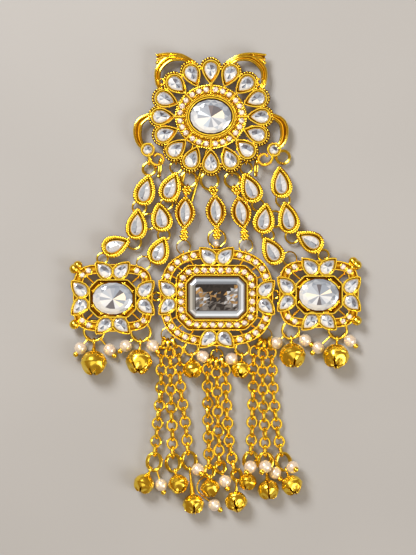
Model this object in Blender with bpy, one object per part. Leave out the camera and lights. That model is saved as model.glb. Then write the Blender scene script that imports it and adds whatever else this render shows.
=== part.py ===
"""Hair brooch: a stone-set rosette, four chains of pear links, three marquise drops, three
medallions, and chain tassels with bells and pearls. It lies on its back: +X right, +Y towards
the rosette's horns, +Z up from the surface. Sizes are in millimetres and MM turns them into
metres."""
import math

import bmesh
import bpy
import numpy as np

MM = 0.001

# Layers above the surface: jump rings lie low, settings lie over them
CLEARANCE = 0.3
RING_WIRE = 0.33
EYE_WIRE = 0.24
RING_Z = 1.6
EYE_RADIUS = RING_WIRE + CLEARANCE + EYE_WIRE + 0.03
SETTING_Z = RING_Z + RING_WIRE + CLEARANCE + 0.02
NECK_WIRE = 0.3
NECK_Z = SETTING_Z + 0.4

# Settings
SETTING_HEIGHT = 1.9
RIM = 0.55
CROWN_HEIGHT = 0.55
CROWN_WIDTH = 0.8
STONE_GAP = 0.3
SEAT_HEIGHT = 0.8
TROUGH_HEIGHT = 1.0
TROUGH_LIP = 0.6
TROUGH_SLOPE = 0.3
LIP_DROP = 0.5
BEZEL_RISE = 0.6
STONE_RISE = 0.5
STONE_CROWN = 1.1
STONE_CULET_HEIGHT = 0.7

# Rosette
ROSETTE_CENTRE = (-1.7, 57.6)
ROSETTE_STONE = (6.6, 5.4)
ROSETTE_BEZEL_WALL = 1.0
ROSETTE_CORE = (11.4, 10.3)
ROSETTE_PEARS = 16
ROSETTE_PEAR = (5.7, 8.6)
ROSETTE_PEAR_SINK = 0.4
ROUND_SETTING = 2.3
ORNAMENT_Z = SETTING_Z + 1.0
ROSETTE_STONE_CROWN = 1.9
MARQUISE_HOLD = 3.4
MARQUISE_LEAN = 0.75

# Medallions
SIDE_STONE = (6.4, 5.1)
SIDE_BEZEL = (7.6, 6.2)
SIDE_BEZEL_CHAMFER = 2.7
SIDE_BAND = (10.8, 8.9)
SIDE_BAND_POWER = 4.0
SIDE_PEAR = (5.3, 6.2)
SIDE_STONE_CROWN = 1.8
SIDE_JOINT = 14.1
SIDE_JOINT_RING = 1.3
CENTRE_STONE = (9.1, 6.5)
CENTRE_STONE_CHAMFER = 2.2
CENTRE_BEZEL_WALL = 0.8
CENTRE_BORDER = (13.1, 10.5)
CENTRE_BORDER_CHAMFER = 3.8
CENTRE_BAND = (16.6, 13.9)
CENTRE_BAND_POWER = 2.8
CENTRE_PEAR = (5.4, 6.2)
CENTRE_STONE_CROWN = 2.4
CENTRE_RISE = 0.8
BAND_WIDTH = 2.3
BAND_HEIGHT = 1.3
PEAR_SPACING = 6.0
PEAR_INSET = 0.5
KNOB = 1.6
KNOB_STEM = 0.5
KNOB_ROOT_INSET = (1.4, 1.6)
MEDALLION_CENTRES = {"left": (-33.2, 0.0), "centre": (0.0, 0.0), "right": (32.8, 1.2)}
CORNER_EYE = (7.8, -8.3)

# Pear links, marquise drops and their rings
LINK_WIDTH = 6.2
LINK_RING = 2.2
CROSS_RING = 2.5
MARQUISE_WIDTH = 6.2
CLUSTER = 1.35

# Bells, pearls and tassels
BELL_NECK = 0.5
PEARL = 1.9
STEM_WIRE = 0.28
CHAIN_RADIUS = 1.15
CHAIN_Z = 1.85
END_RING = 1.4

# Hair pin
PIN_PLATE = (20.0, 11.0, SETTING_Z - CLEARANCE - 0.05)
PRONG_WIRE = 0.45
PRONG_ROOTS = ((-5.9, 54.0), (-1.0, 54.0))
PRONG_TIPS = ((-13.0, 30.0), (-8.1, 30.0))

# Shares of their triangles that fused settings and strings keep
SETTING_DETAIL = 0.72
STRING_DETAIL = 0.88

# Colours
GOLD = (0.83, 0.52, 0.09)
CRYSTAL = (0.82, 0.88, 0.93)
SMOKED = (0.45, 0.42, 0.42)

# Chosen places of the pear links: name, tip, tail, the ring after it, that ring's radius
PEAR_LINKS = (
    ("outer_left_1", (-21.4, 38.9), (-24.0, 29.6), (-24.6, 28.6), LINK_RING),
    ("outer_left_2", (-24.9, 28.1), (-25.9, 18.6), (-26.3, 17.4), LINK_RING),
    ("outer_left_3", (-27.7, 18.0), (-36.1, 14.8), (-36.5, 12.2), 1.7),
    ("inner_left_1", (-12.7, 39.6), (-16.2, 30.8), (-15.9, 29.8), 1.9),
    ("inner_left_2", (-18.4, 30.0), (-16.9, 21.2), (-16.8, 19.7), 1.9),
    ("inner_left_3", (-16.5, 19.0), (-19.8, 10.8), (-23.3, 10.7), LINK_RING),
    ("inner_right_1", (8.9, 39.4), (12.7, 30.6), (13.4, 29.4), 1.9),
    ("inner_right_2", (16.2, 29.8), (14.6, 20.5), (16.6, 19.6), 1.9),
    ("inner_right_3", (15.4, 18.9), (20.0, 10.9), (23.6, 12.2), LINK_RING),
    ("outer_right_1", (20.2, 41.6), (21.2, 31.9), (21.4, 31.0), LINK_RING),
    ("outer_right_2", (22.0, 30.3), (23.9, 20.6), (24.4, 19.3), LINK_RING),
    ("outer_right_3", (25.8, 20.2), (33.6, 15.7), (34.4, 13.3), 1.7),
)
# Rings that the four chains hang from, with the place on the rosette that holds each
CHAIN_HEADS = {
    "outer_left": ((-21.5, 40.9), 2.0, (-21.9, 47.2)),
    "inner_left": ((-12.9, 41.4), 1.9, (-12.8, 46.2)),
    "inner_right": ((9.6, 41.2), 1.9, (9.3, 46.6)),
    "outer_right": ((21.4, 44.7), 2.1, (18.1, 46.6)),
}
# Rings that tie the second links of each side together
CROSS_RINGS = {"left": (-21.5, 24.1), "right": (18.8, 24.9)}
# Marquise drops: hanging ring and radius, cluster, tip, tail, bottom ring and radius
MARQUISES = (
    ("left", (-8.8, 37.6), 2.5, (-9.4, 34.1), (-9.8, 31.8), (-10.2, 21.8), (-10.5, 15.9), 2.2),
    ("middle", (-2.1, 37.2), 2.8, (-0.9, 34.0), (-0.4, 32.4), (0.2, 22.2), (0.2, 18.6), 2.8),
    ("right", (5.2, 37.4), 2.4, (6.4, 34.2), (7.1, 31.8), (8.8, 21.9), (9.5, 16.4), 2.2),
)
# Rosette ornament: horn, leaf and side crescent on the left, hook below, as offsets from the centre
HORN_PATH = ((-5.4, 16.4), (-8.6, 18.6), (-13.2, 18.5), (-16.6, 15.4), (-17.0, 11.4), (-16.1, 8.6))
LEAF_PATH = ((-5.2, 17.6), (-9.4, 19.9), (-13.6, 20.2), (-17.3, 19.3))
CRESCENT_PATH = ((-18.4, 1.0), (-22.6, -1.6), (-23.5, -5.2), (-22.6, -8.6), (-20.4, -10.4))
HOOK_PATH = ((-20.2, -10.6), (-20.4, -13.6), (-18.6, -15.2), (-16.6, -15.3), (-15.2, -14.2),
             (-12.6, -12.2))
ROUND_OFFSET = (-20.2, -10.6)
# Wire radii along those four
HORN_WIRE = (0.6, 0.8, 0.8, 0.8, 0.75, 0.7)
LEAF_WIRE = (0.6, 0.95, 0.95, 0.35)
CRESCENT_WIRE = (0.6, 0.95, 1.0, 0.9, 0.6)
HOOK_WIRE = 0.4
# Jump rings under the medallions: name, centre, radius, place that holds it, pearls
BELL_RINGS = (
    ("side_1", (-39.2, -11.0), 3.2, ("left", -1), ((-43.5, -16.6), (-34.2, -17.0))),
    ("side_2", (-24.2, -11.3), 3.1, ("left", 1), ((-29.0, -15.8), (-20.4, -15.8))),
    ("side_3", (23.9, -10.8), 2.7, ("right", -1), ((19.4, -14.9), (28.5, -14.0))),
    ("side_4", (39.0, -10.6), 2.9, ("right", 1), ((32.7, -16.4), (42.9, -14.2))),
    ("middle_1", (-8.0, -16.5), 2.2, (-7.4, -13.6), ((-4.3, -19.2),)),
    ("middle_2", (8.4, -16.6), 2.2, (7.4, -13.6), ((4.9, -20.0),)),
)
# Bells under those rings: name, centre, radius
RING_BELLS = (
    ("side_1", (-39.1, -21.4), 4.3),
    ("side_2", (-24.7, -21.0), 4.3),
    ("side_3", (24.4, -19.0), 4.3),
    ("side_4", (38.3, -19.3), 4.3),
    ("middle_1", (-7.6, -23.4), 3.2),
    ("middle_2", (7.9, -23.5), 3.1),
)
# Rings that carry the tassels: name, centre, radius, place that holds it
TASSEL_RINGS = (
    ("left", (-15.4, -12.2), 2.25, (-13.0, -10.0)),
    ("middle", (0.2, -18.8), 1.9, (0.0, -13.9)),
    ("right", (15.6, -12.4), 2.25, (13.0, -10.0)),
)
# Chosen routes of the nine chains, and the ring at the end of each
CHAINS = (
    ("left_1", "left", ((-17.6, -18.7), (-17.8, -30.2), (-18.9, -41.6), (-19.5, -48.6)), (-19.8, -51.6)),
    ("left_2", "left", ((-14.8, -18.7), (-14.6, -30.2), (-14.2, -41.2), (-14.0, -48.8)), (-13.9, -51.9)),
    ("left_3", "left", ((-12.0, -18.9), (-11.4, -29.4), (-10.0, -39.9), (-9.2, -48.2)), (-8.9, -51.2)),
    ("middle_1", "middle", ((-2.8, -23.4), (-2.7, -35.0), (-2.5, -46.0), (-2.3, -52.6)), (-2.3, -55.6)),
    ("middle_2", "middle", ((0.1, -23.4), (0.4, -35.0), (0.8, -45.7), (1.0, -51.2)), (1.2, -54.2)),
    ("middle_3", "middle", ((2.9, -23.8), (3.3, -35.0), (4.2, -46.8), (5.4, -53.6)), (6.4, -56.8)),
    ("right_1", "right", ((12.1, -18.9), (11.9, -30.1), (11.5, -40.6), (11.2, -48.2)), (11.1, -51.2)),
    ("right_2", "right", ((14.9, -18.9), (15.0, -30.3), (15.4, -40.7), (15.7, -48.4)), (15.7, -51.5)),
    ("right_3", "right", ((17.7, -18.9), (18.3, -30.1), (19.3, -40.6), (20.6, -48.6)), (21.2, -51.6)),
)
# Pearls on the chains' end rings: the stem's bends and the pearl's centre, heights included
CHAIN_PEARLS = {
    "left_1": (((-17.6, -60.4, PEARL),),),
    "left_3": (((-5.9, -55.4, 3.4),),),
    "middle_1": (((-5.7, -59.6, 1.2), (-5.7, -62.6, 1.2), (-0.6, -66.8, PEARL)),),
    "middle_2": (((2.8, -59.2, PEARL),),),
    "right_1": (((12.9, -51.8, 2.6), (10.9, -54.4, 4.7)),),
    "right_2": (((17.4, -52.0, 2.6), (15.7, -54.3, 4.7)), ((18.9, -56.6, PEARL),)),
    "right_3": (((24.5, -54.6, 3.8),),),
}
# Bells on the chains' end rings: chain, centre, radius
TASSEL_BELLS = (
    ("left_1", (-23.2, -60.1), 3.4),
    ("left_2", (-12.1, -60.2), 3.35),
    ("left_3", (-7.3, -66.6), 3.5),
    ("middle_1", (-1.9, -61.5), 3.2),
    ("middle_3", (6.4, -65.8), 3.6),
    ("right_1", (10.1, -59.5), 3.0),
    ("right_2", (16.7, -62.0), 3.5),
    ("right_3", (24.3, -60.5), 3.5),
)


def clear_scene():
    for thing in list(bpy.data.objects):
        bpy.data.objects.remove(thing, do_unlink=True)


def make_material(name, colour, roughness, metallic):
    material = bpy.data.materials.new(name)
    material.use_nodes = True
    shader = material.node_tree.nodes["Principled BSDF"]
    shader.inputs["Base Color"].default_value = (*colour, 1.0)
    shader.inputs["Roughness"].default_value = roughness
    shader.inputs["Metallic"].default_value = metallic
    return material


# Flat outlines, counter-clockwise, as arrays of x and y

def ellipse(half, count):
    angle = np.arange(count) * 2 * math.pi / count
    return np.column_stack((half[0] * np.cos(angle), half[1] * np.sin(angle)))


def rounded_box(half, power, count):
    """Superellipse, whose corners fill out as the power grows."""
    unit = ellipse((1.0, 1.0), count)
    reach = (np.abs(unit[:, 0]) ** power + np.abs(unit[:, 1]) ** power) ** (-1.0 / power)
    return unit * reach[:, None] * np.array(half)


def cut_box(half, chamfer):
    """Rectangle with cut corners, eight points."""
    a, b = half
    return np.array([(a, -b + chamfer), (a, b - chamfer), (a - chamfer, b), (-a + chamfer, b),
                     (-a, b - chamfer), (-a, -b + chamfer), (-a + chamfer, -b), (a - chamfer, -b)])


def cut_box_round(half, chamfer, count):
    """The same rectangle sampled at even angles, so that it lofts to an ellipse."""
    unit = ellipse(half, count)
    direction = unit / np.linalg.norm(unit, axis=1)[:, None]
    limits = np.stack((np.abs(direction[:, 0]) / half[0], np.abs(direction[:, 1]) / half[1],
                       np.abs(direction).sum(axis=1) / (half[0] + half[1] - chamfer)))
    return direction / limits.max(axis=0)[:, None]


def pear(width, length, count=8):
    """Tip at +Y, round end at -Y: two tangents from the tip to a circle."""
    radius = width / 2
    drop = length / 2 - radius
    tangent = math.acos(radius / (length - radius))
    angle = np.linspace(tangent, 2 * math.pi - tangent, count - 1)
    arc = np.column_stack((-radius * np.sin(angle), radius * np.cos(angle) - drop))
    return np.vstack(([(0.0, length / 2)], arc))


def marquise(width, length, count=10):
    """Two arcs that meet in a tip at each end."""
    half = count // 2
    share = np.arange(half) / half
    side = np.column_stack((-width / 2 * np.sin(math.pi * share), length / 2 * np.cos(math.pi * share)))
    return np.vstack((side, -side))


def inset(outline, distance):
    """Move each side of the outline inwards by the distance."""
    edge = np.roll(outline, -1, axis=0) - outline
    normal = np.column_stack((-edge[:, 1], edge[:, 0])) / np.linalg.norm(edge, axis=1)[:, None]
    before = np.roll(normal, 1, axis=0)
    shift = (normal + before) / (1 + (normal * before).sum(axis=1))[:, None]
    return outline + shift * distance


def turned(outline, centre, angle=0.0):
    cos, sin = math.cos(angle), math.sin(angle)
    spin = np.array(((cos, sin), (-sin, cos)))
    return outline @ spin + np.array(centre)


# Closed solids, as vertices and faces

def stack(levels):
    """Loft through outlines at rising or falling heights, capped at both ends."""
    count = len(levels[0][0])
    verts = np.vstack([np.column_stack((outline, np.full(count, z))) for outline, z in levels])
    faces = [tuple(range(count - 1, -1, -1))]
    for level in range(len(levels) - 1):
        low, high = level * count, (level + 1) * count
        faces += [(low + i, low + (i + 1) % count, high + (i + 1) % count, high + i) for i in range(count)]
    faces.append(tuple(range(len(verts) - count, len(verts))))
    return verts, faces


def band(outer, inner, bottom, top):
    """Flat ring between two outlines of the same number of points."""
    count = len(outer)
    levels = ((outer, bottom), (outer, top), (inner, top), (inner, bottom))
    verts = np.vstack([np.column_stack((outline, np.full(count, z))) for outline, z in levels])
    faces = []
    for level in range(4):
        low, high = level * count, (level + 1) % 4 * count
        faces += [(low + i, low + (i + 1) % count, high + (i + 1) % count, high + i) for i in range(count)]
    return verts, faces


def block(centre, size, angle=0.0):
    """Box by its centre and full sizes, turned about Z."""
    outline = np.array(((1, -1), (1, 1), (-1, 1), (-1, -1))) * np.array(size[:2]) / 2
    outline = turned(outline, centre[:2], angle)
    return stack(((outline, centre[2] - size[2] / 2), (outline, centre[2] + size[2] / 2)))


def torus(centre, radius, wire, axis=(0, 0, 1), around=10, sides=5):
    axis = np.array(axis, dtype=float) / np.linalg.norm(axis)
    first = np.cross(axis, (1.0, 0.0, 0.0) if abs(axis[0]) < 0.8 else (0.0, 1.0, 0.0))
    first /= np.linalg.norm(first)
    second = np.cross(axis, first)
    verts = []
    for i in range(around):
        turn = 2 * math.pi * i / around
        out = math.cos(turn) * first + math.sin(turn) * second
        for j in range(sides):
            roll = 2 * math.pi * (j + 0.5) / sides
            reach = radius + wire * math.cos(roll)
            verts.append(np.array(centre) + out * reach + axis * wire * math.sin(roll))
    faces = [(i * sides + j, (i + 1) % around * sides + j, (i + 1) % around * sides + (j + 1) % sides,
              i * sides + (j + 1) % sides) for i in range(around) for j in range(sides)]
    return np.array(verts), faces


def rod(points, radii, sides=4):
    """Wire through the points, with a radius at each."""
    points = np.array(points, dtype=float)
    radii = np.broadcast_to(radii, len(points))
    tangent = np.gradient(points, axis=0)
    tangent /= np.linalg.norm(tangent, axis=1)[:, None]
    up = np.array((0.0, 0.0, 1.0))
    if abs(tangent[0] @ up) > 0.9:
        up = np.array((1.0, 0.0, 0.0))
    verts = []
    for point, direction, radius in zip(points, tangent, radii):
        across = np.cross(direction, up)
        across /= np.linalg.norm(across)
        lift = np.cross(across, direction)
        for j in range(sides):
            roll = 2 * math.pi * (j + 0.5) / sides
            verts.append(point + radius * (math.cos(roll) * across + math.sin(roll) * lift))
    faces = [tuple(range(sides)), tuple(range(len(verts) - 1, len(verts) - sides - 1, -1))]
    for i in range(len(points) - 1):
        low, high = i * sides, (i + 1) * sides
        faces += [(low + j, high + j, high + (j + 1) % sides, low + (j + 1) % sides) for j in range(sides)]
    return np.array(verts), faces


def ball(centre, radius, around=10, bands=3):
    """Globe with poles on Z."""
    rows = []
    for i in range(1, bands):
        lean = math.pi * i / bands
        ring = ellipse((radius * math.sin(lean), radius * math.sin(lean)), around)
        rows.append(np.column_stack((ring, np.full(around, -radius * math.cos(lean)))))
    verts = np.vstack([[(0, 0, -radius)], *rows, [(0, 0, radius)]]) + np.array(centre)
    last = len(verts) - 1
    faces = [(0, 1 + (i + 1) % around, 1 + i) for i in range(around)]
    for row in range(bands - 2):
        low, high = 1 + row * around, 1 + (row + 1) * around
        faces += [(low + i, low + (i + 1) % around, high + (i + 1) % around, high + i) for i in range(around)]
    faces += [(last, last - around + i, last - around + (i + 1) % around) for i in range(around)]
    return verts, faces


def cord_tube(route, radius, points):
    """Tube of a chain along a smooth curve through its chosen points."""
    curve = bpy.data.curves.new("chain", "CURVE")
    curve.dimensions = "3D"
    curve.bevel_depth = radius * MM
    curve.bevel_resolution = 2
    curve.use_fill_caps = True
    spline = curve.splines.new("POLY")
    places = smooth_route(route, points)
    spline.points.add(len(places) - 1)
    for point, place in zip(spline.points, places):
        point.co = (*(place * MM), 1.0)
    tube = bpy.data.objects.new("chain", curve)
    bpy.context.collection.objects.link(tube)
    mesh = tube.evaluated_get(bpy.context.evaluated_depsgraph_get()).to_mesh()
    joined = bmesh.new()
    joined.from_mesh(mesh)
    bmesh.ops.remove_doubles(joined, verts=joined.verts, dist=0.0001 * MM)
    verts = np.array([vert.co[:] for vert in joined.verts]) / MM
    faces = [tuple(vert.index for vert in face.verts) for face in joined.faces]
    joined.free()
    bpy.data.objects.remove(tube, do_unlink=True)
    return verts, faces


def smooth_route(route, count):
    """Catmull-Rom curve through the points."""
    route = np.array(route, dtype=float)
    padded = np.vstack((2 * route[0] - route[1], route, 2 * route[-1] - route[-2]))
    places = []
    for share in np.linspace(0, len(route) - 1, count):
        piece = min(int(share), len(route) - 2)
        t = share - piece
        a, b, c, d = padded[piece:piece + 4]
        places.append(0.5 * (2 * b + (c - a) * t + (2 * a - 5 * b + 4 * c - d) * t ** 2
                             + (3 * b - a - 3 * c + d) * t ** 3))
    return np.array(places)


# Objects

def mesh_object(name, verts, faces, material):
    mesh = bpy.data.meshes.new(name)
    mesh.from_pydata((np.array(verts) * MM).tolist(), [], faces)
    mesh.materials.append(material)
    shape = bmesh.new()
    shape.from_mesh(mesh)
    bmesh.ops.recalc_face_normals(shape, faces=shape.faces)
    shape.to_mesh(mesh)
    shape.free()
    piece = bpy.data.objects.new(name, mesh)
    bpy.context.collection.objects.link(piece)
    return piece


def merge_flat_faces(mesh):
    """Join the coplanar faces that a union leaves, so that flat areas stay light."""
    shape = bmesh.new()
    shape.from_mesh(mesh)
    bmesh.ops.dissolve_limit(shape, angle_limit=math.radians(0.2), verts=shape.verts, edges=shape.edges)
    shape.to_mesh(mesh)
    shape.free()


def solid(name, shapes, colour, detail=1.0, roughness=0.25, metallic=1.0):
    """One object from closed shapes that overlap: the first is the body, the rest are united with it."""
    material = make_material(name, colour, roughness, metallic)
    body = mesh_object(name, *shapes[0], material)
    if len(shapes) > 1:
        group = bpy.data.collections.new(name + "_parts")
        helpers = []
        for index, shape in enumerate(shapes[1:]):
            helper = mesh_object(f"{name}_part_{index}", *shape, material)
            group.objects.link(helper)
            helpers.append(helper)
        union = body.modifiers.new("union", "BOOLEAN")
        union.operation = "UNION"
        union.solver = "EXACT"
        union.operand_type = "COLLECTION"
        union.collection = group
        light = body.modifiers.new("light", "DECIMATE")
        light.ratio = detail
        fused = bpy.data.meshes.new_from_object(body.evaluated_get(bpy.context.evaluated_depsgraph_get()))
        body.modifiers.clear()
        merge_flat_faces(fused)
        body.data = fused
        body.data.name = name
        for helper in helpers:
            bpy.data.objects.remove(helper, do_unlink=True)
        bpy.data.collections.remove(group)
    body.data.shade_smooth()
    body.data.set_sharp_from_angle(angle=math.radians(35))
    return body


# Findings

def toward(start, end, distance):
    """Point at the distance from the start on the way to the end."""
    start, end = np.array(start, dtype=float), np.array(end, dtype=float)
    return start + (end - start) / np.linalg.norm(end - start) * distance


def jump_ring(centre, radius):
    return torus((*centre, RING_Z), radius, RING_WIRE)


def eye(ring, radius, holder):
    """Small closed loop round a jump ring's wire, on the ring's side nearest its holder."""
    place = toward(ring, holder, radius)
    along = toward((0, 0), np.array(holder) - np.array(ring), 1.0)
    axis = (-along[1], along[0], 0)
    return torus((*place, RING_Z), EYE_RADIUS, EYE_WIRE, axis=axis, around=6, sides=4)


def staple(ring, radius, holder):
    """Loop under a setting that the ring's wire runs through: both legs end in the setting."""
    place = toward(ring, holder, radius)
    along = toward((0, 0), np.array(holder) - np.array(ring), EYE_RADIUS)
    shoulder = RING_Z - EYE_RADIUS * 0.3
    profile = ((-1, NECK_Z), (-1, shoulder), (0, RING_Z - EYE_RADIUS * 1.25), (1, shoulder), (1, NECK_Z))
    return [rod([(*(place + along * across), z) for across, z in profile], EYE_WIRE)]


def depth(outline, point):
    """How far inside a convex outline the point lies; negative outside."""
    edge = np.roll(outline, -1, axis=0) - outline
    away = np.array(point) - outline
    return float(((edge[:, 0] * away[:, 1] - edge[:, 1] * away[:, 0]) / np.linalg.norm(edge, axis=1)).min())


def covered(regions, point):
    """True where a setting or a band has metal over the point."""
    for outer, inner in regions:
        if depth(outer, point) > NECK_WIRE and (inner is None or depth(inner, point) < -NECK_WIRE):
            return True
    return False


def held_eye(ring, radius, holder, regions):
    """The loop that a jump ring runs through: a staple under the metal, or an eye on a neck beside it."""
    place = toward(ring, holder, radius)
    along = toward((0, 0), np.array(holder) - np.array(ring), EYE_RADIUS)
    if covered(regions, place + along) and covered(regions, place - along):
        return staple(ring, radius, holder)
    neck = rod(((*place, NECK_Z), (*holder, NECK_Z)), NECK_WIRE)
    return [eye(ring, radius, holder), neck]


def soldered_ring(ring, radius, holder, regions):
    """A jump ring with the post that fixes it under its setting, and a neck where the setting stops short."""
    place = toward(ring, holder, radius)
    foot = turned(ellipse((0.45, 0.45), 5), place)
    shapes = [jump_ring(ring, radius), stack(((foot, RING_Z - RING_WIRE / 2), (foot, NECK_Z)))]
    if not covered(regions, place):
        shapes.append(rod(((*place, NECK_Z - 0.05), (*holder, NECK_Z - 0.05)), NECK_WIRE))
    return shapes


def stone_setting(outline, height=SETTING_HEIGHT):
    """Bezel with its stone: wall, crown facets and table."""
    top = SETTING_Z + height
    table = inset(outline, RIM + CROWN_WIDTH)
    return stack(((outline, SETTING_Z), (outline, top), (table, top + CROWN_HEIGHT)))


def cut_stone(name, outline, crown, colour):
    """Loose stone that sits in a bezel: girdle, crown facets and table."""
    bottom = SETTING_Z + SEAT_HEIGHT + STONE_GAP
    top = SETTING_Z + SETTING_HEIGHT + STONE_RISE
    culet = inset(outline, crown * 0.5)
    table = inset(outline, crown)
    levels = ((culet, bottom), (outline, bottom + STONE_CULET_HEIGHT), (outline, top),
              (table, top + STONE_CROWN))
    return solid(name, [stack(levels)], colour, roughness=0.05, metallic=0.0)


# Rosette

def rosette():
    centre = np.array(ROSETTE_CENTRE)
    count = 16
    wall = (ROSETTE_STONE[0] + STONE_GAP, ROSETTE_STONE[1] + STONE_GAP)
    outer_wall = (wall[0] + ROSETTE_BEZEL_WALL, wall[1] + ROSETTE_BEZEL_WALL)
    core = ellipse(ROSETTE_CORE, count) + centre
    trough = SETTING_Z + TROUGH_HEIGHT
    top = SETTING_Z + SETTING_HEIGHT
    lip = inset(core, TROUGH_LIP)
    bezel_outer = ellipse(outer_wall, count) + centre
    bezel_inner = ellipse(wall, count) + centre
    levels = ((core, SETTING_Z + 0.05), (core, top - LIP_DROP), (lip, top - LIP_DROP),
              (inset(lip, TROUGH_SLOPE), trough), (bezel_outer, trough), (bezel_outer, top + BEZEL_RISE),
              (bezel_inner, top + BEZEL_RISE), (bezel_inner, SETTING_Z + SEAT_HEIGHT))
    shapes = [stack(levels)]
    regions = [(core, None)]
    reach = ROSETTE_PEAR[1] / 2 - ROSETTE_PEAR_SINK
    for index in range(ROSETTE_PEARS):
        angle = 2 * math.pi * index / ROSETTE_PEARS
        out = np.array((math.sin(angle), math.cos(angle)))
        place = centre + out * (np.array(ROSETTE_CORE) + reach)
        inward = math.atan2(-(centre - place)[0], (centre - place)[1])
        outline = turned(pear(*ROSETTE_PEAR), place, inward)
        shapes.append(stone_setting(outline))
        regions.append((outline, None))
    ornaments = ((HORN_PATH, HORN_WIRE, 0.0), (LEAF_PATH, LEAF_WIRE, 0.05),
                 (CRESCENT_PATH, CRESCENT_WIRE, -0.05), (HOOK_PATH, HOOK_WIRE, 0.03))
    for side in (1, -1):
        for path, wire, lift in ornaments:
            route = [(centre[0] + side * x, centre[1] + y, ORNAMENT_Z + lift) for x, y in path]
            shapes.append(rod(route, wire))
        spot = (centre[0] + side * ROUND_OFFSET[0], centre[1] + ROUND_OFFSET[1])
        outline = ellipse((ROUND_SETTING, ROUND_SETTING), 8) + np.array(spot)
        shapes.append(stone_setting(outline))
        regions.append((outline, None))
    for ring, radius, holder in CHAIN_HEADS.values():
        shapes += held_eye(ring, radius, holder, regions)
    for name, ring, radius, *rest in MARQUISES:
        aim = ROSETTE_CENTRE[0] + MARQUISE_LEAN * (ring[0] - ROSETTE_CENTRE[0])
        holder = toward(ring, (aim, ROSETTE_CENTRE[1]), radius + MARQUISE_HOLD)
        shapes += held_eye(ring, radius, holder, regions)
    solid("rosette_frame", shapes, GOLD, SETTING_DETAIL)
    cut_stone("rosette_stone", ellipse(ROSETTE_STONE, 12) + centre, ROSETTE_STONE_CROWN, CRYSTAL)


# Medallions

def pear_outlines(centre, half, pear_size):
    """Eight pears in pairs on the four sides, their tips leaning apart."""
    outlines = []
    step = PEAR_SPACING / 2
    reach = (half[0] - PEAR_INSET, half[1] - PEAR_INSET)
    for sx in (1, -1):
        for sy in (1, -1):
            lean = math.atan2(-sx, sy)
            for offset in ((sx * step, sy * reach[1]), (sx * reach[0], sy * step)):
                place = (centre[0] + offset[0], centre[1] + offset[1])
                outlines.append(turned(pear(*pear_size), place, lean))
    return outlines


def outer_ring(centre, half, power, pear_size):
    """Band and pears round a medallion, with the regions that they cover."""
    outer = rounded_box((half[0] + BAND_WIDTH / 2, half[1] + BAND_WIDTH / 2), power, 16) + np.array(centre)
    inner = rounded_box((half[0] - BAND_WIDTH / 2, half[1] - BAND_WIDTH / 2), power, 16) + np.array(centre)
    bottom = SETTING_Z + 0.1
    shapes = [band(outer, inner, bottom, bottom + BAND_HEIGHT)]
    pears = pear_outlines(centre, half, pear_size)
    shapes += [stone_setting(outline) for outline in pears]
    return shapes, [(outer, inner)] + [(outline, None) for outline in pears]


def side_medallion(side):
    centre = np.array(MEDALLION_CENTRES[side])
    outward = -1 if side == "left" else 1
    count = 16
    top = SETTING_Z + SETTING_HEIGHT
    seat = (SIDE_STONE[0] + STONE_GAP, SIDE_STONE[1] + STONE_GAP)
    bezel = cut_box_round(SIDE_BEZEL, SIDE_BEZEL_CHAMFER, count) + centre
    seat_outline = ellipse(seat, count) + centre
    levels = ((bezel, SETTING_Z + 0.02), (bezel, top + BEZEL_RISE), (seat_outline, top + BEZEL_RISE),
              (seat_outline, SETTING_Z + SEAT_HEIGHT))
    ring_shapes, regions = outer_ring(centre, SIDE_BAND, SIDE_BAND_POWER, SIDE_PEAR)
    shapes = [stack(levels)] + ring_shapes
    for lift in (1, -1):
        corner = (centre[0] + outward * (SIDE_BAND[0] - KNOB_ROOT_INSET[0]),
                  centre[1] + lift * (SIDE_BAND[1] - KNOB_ROOT_INSET[1]), SETTING_Z + 0.9)
        knob = (centre[0] + outward * (SIDE_BAND[0] + KNOB), centre[1] + lift * SIDE_BAND[1],
                SETTING_Z + 1.1)
        shapes.append(rod((corner, knob), KNOB_STEM))
        shapes.append(ball(knob, KNOB))
    for name, ring, radius, holder, pearls in BELL_RINGS:
        if holder[0] == side:
            place = (centre[0] + holder[1] * CORNER_EYE[0], centre[1] + CORNER_EYE[1])
            shapes += held_eye(ring, radius, place, regions)
    for link, ring, radius, place in link_ends():
        if (ring[0] > 0) == (side == "right"):
            shapes += held_eye(ring, radius, place, regions)
    joint = (centre[0] - outward * SIDE_JOINT, centre[1] * 0.5)
    holder = (centre[0] - outward * SIDE_BAND[0], joint[1])
    shapes += soldered_ring(joint, SIDE_JOINT_RING, holder, regions)
    solid(side + "_frame", shapes, GOLD, SETTING_DETAIL)
    cut_stone(side + "_stone", ellipse(SIDE_STONE, 12) + centre, SIDE_STONE_CROWN, CRYSTAL)


def link_ends():
    """The last ring of each link chain, with the place on the side medallion that holds it."""
    ends = []
    for name, tip, tail, ring, radius in PEAR_LINKS:
        if name.endswith("3"):
            side = "left" if "left" in name else "right"
            sign = -1 if side == "left" else 1
            centre = MEDALLION_CENTRES[side]
            across = -sign * SIDE_BAND[0] * 0.78 if "inner" in name else sign * PEAR_SPACING / 2
            ends.append((name, ring, radius, (centre[0] + across, centre[1] + SIDE_BAND[1] * 0.92)))
    return ends


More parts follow.
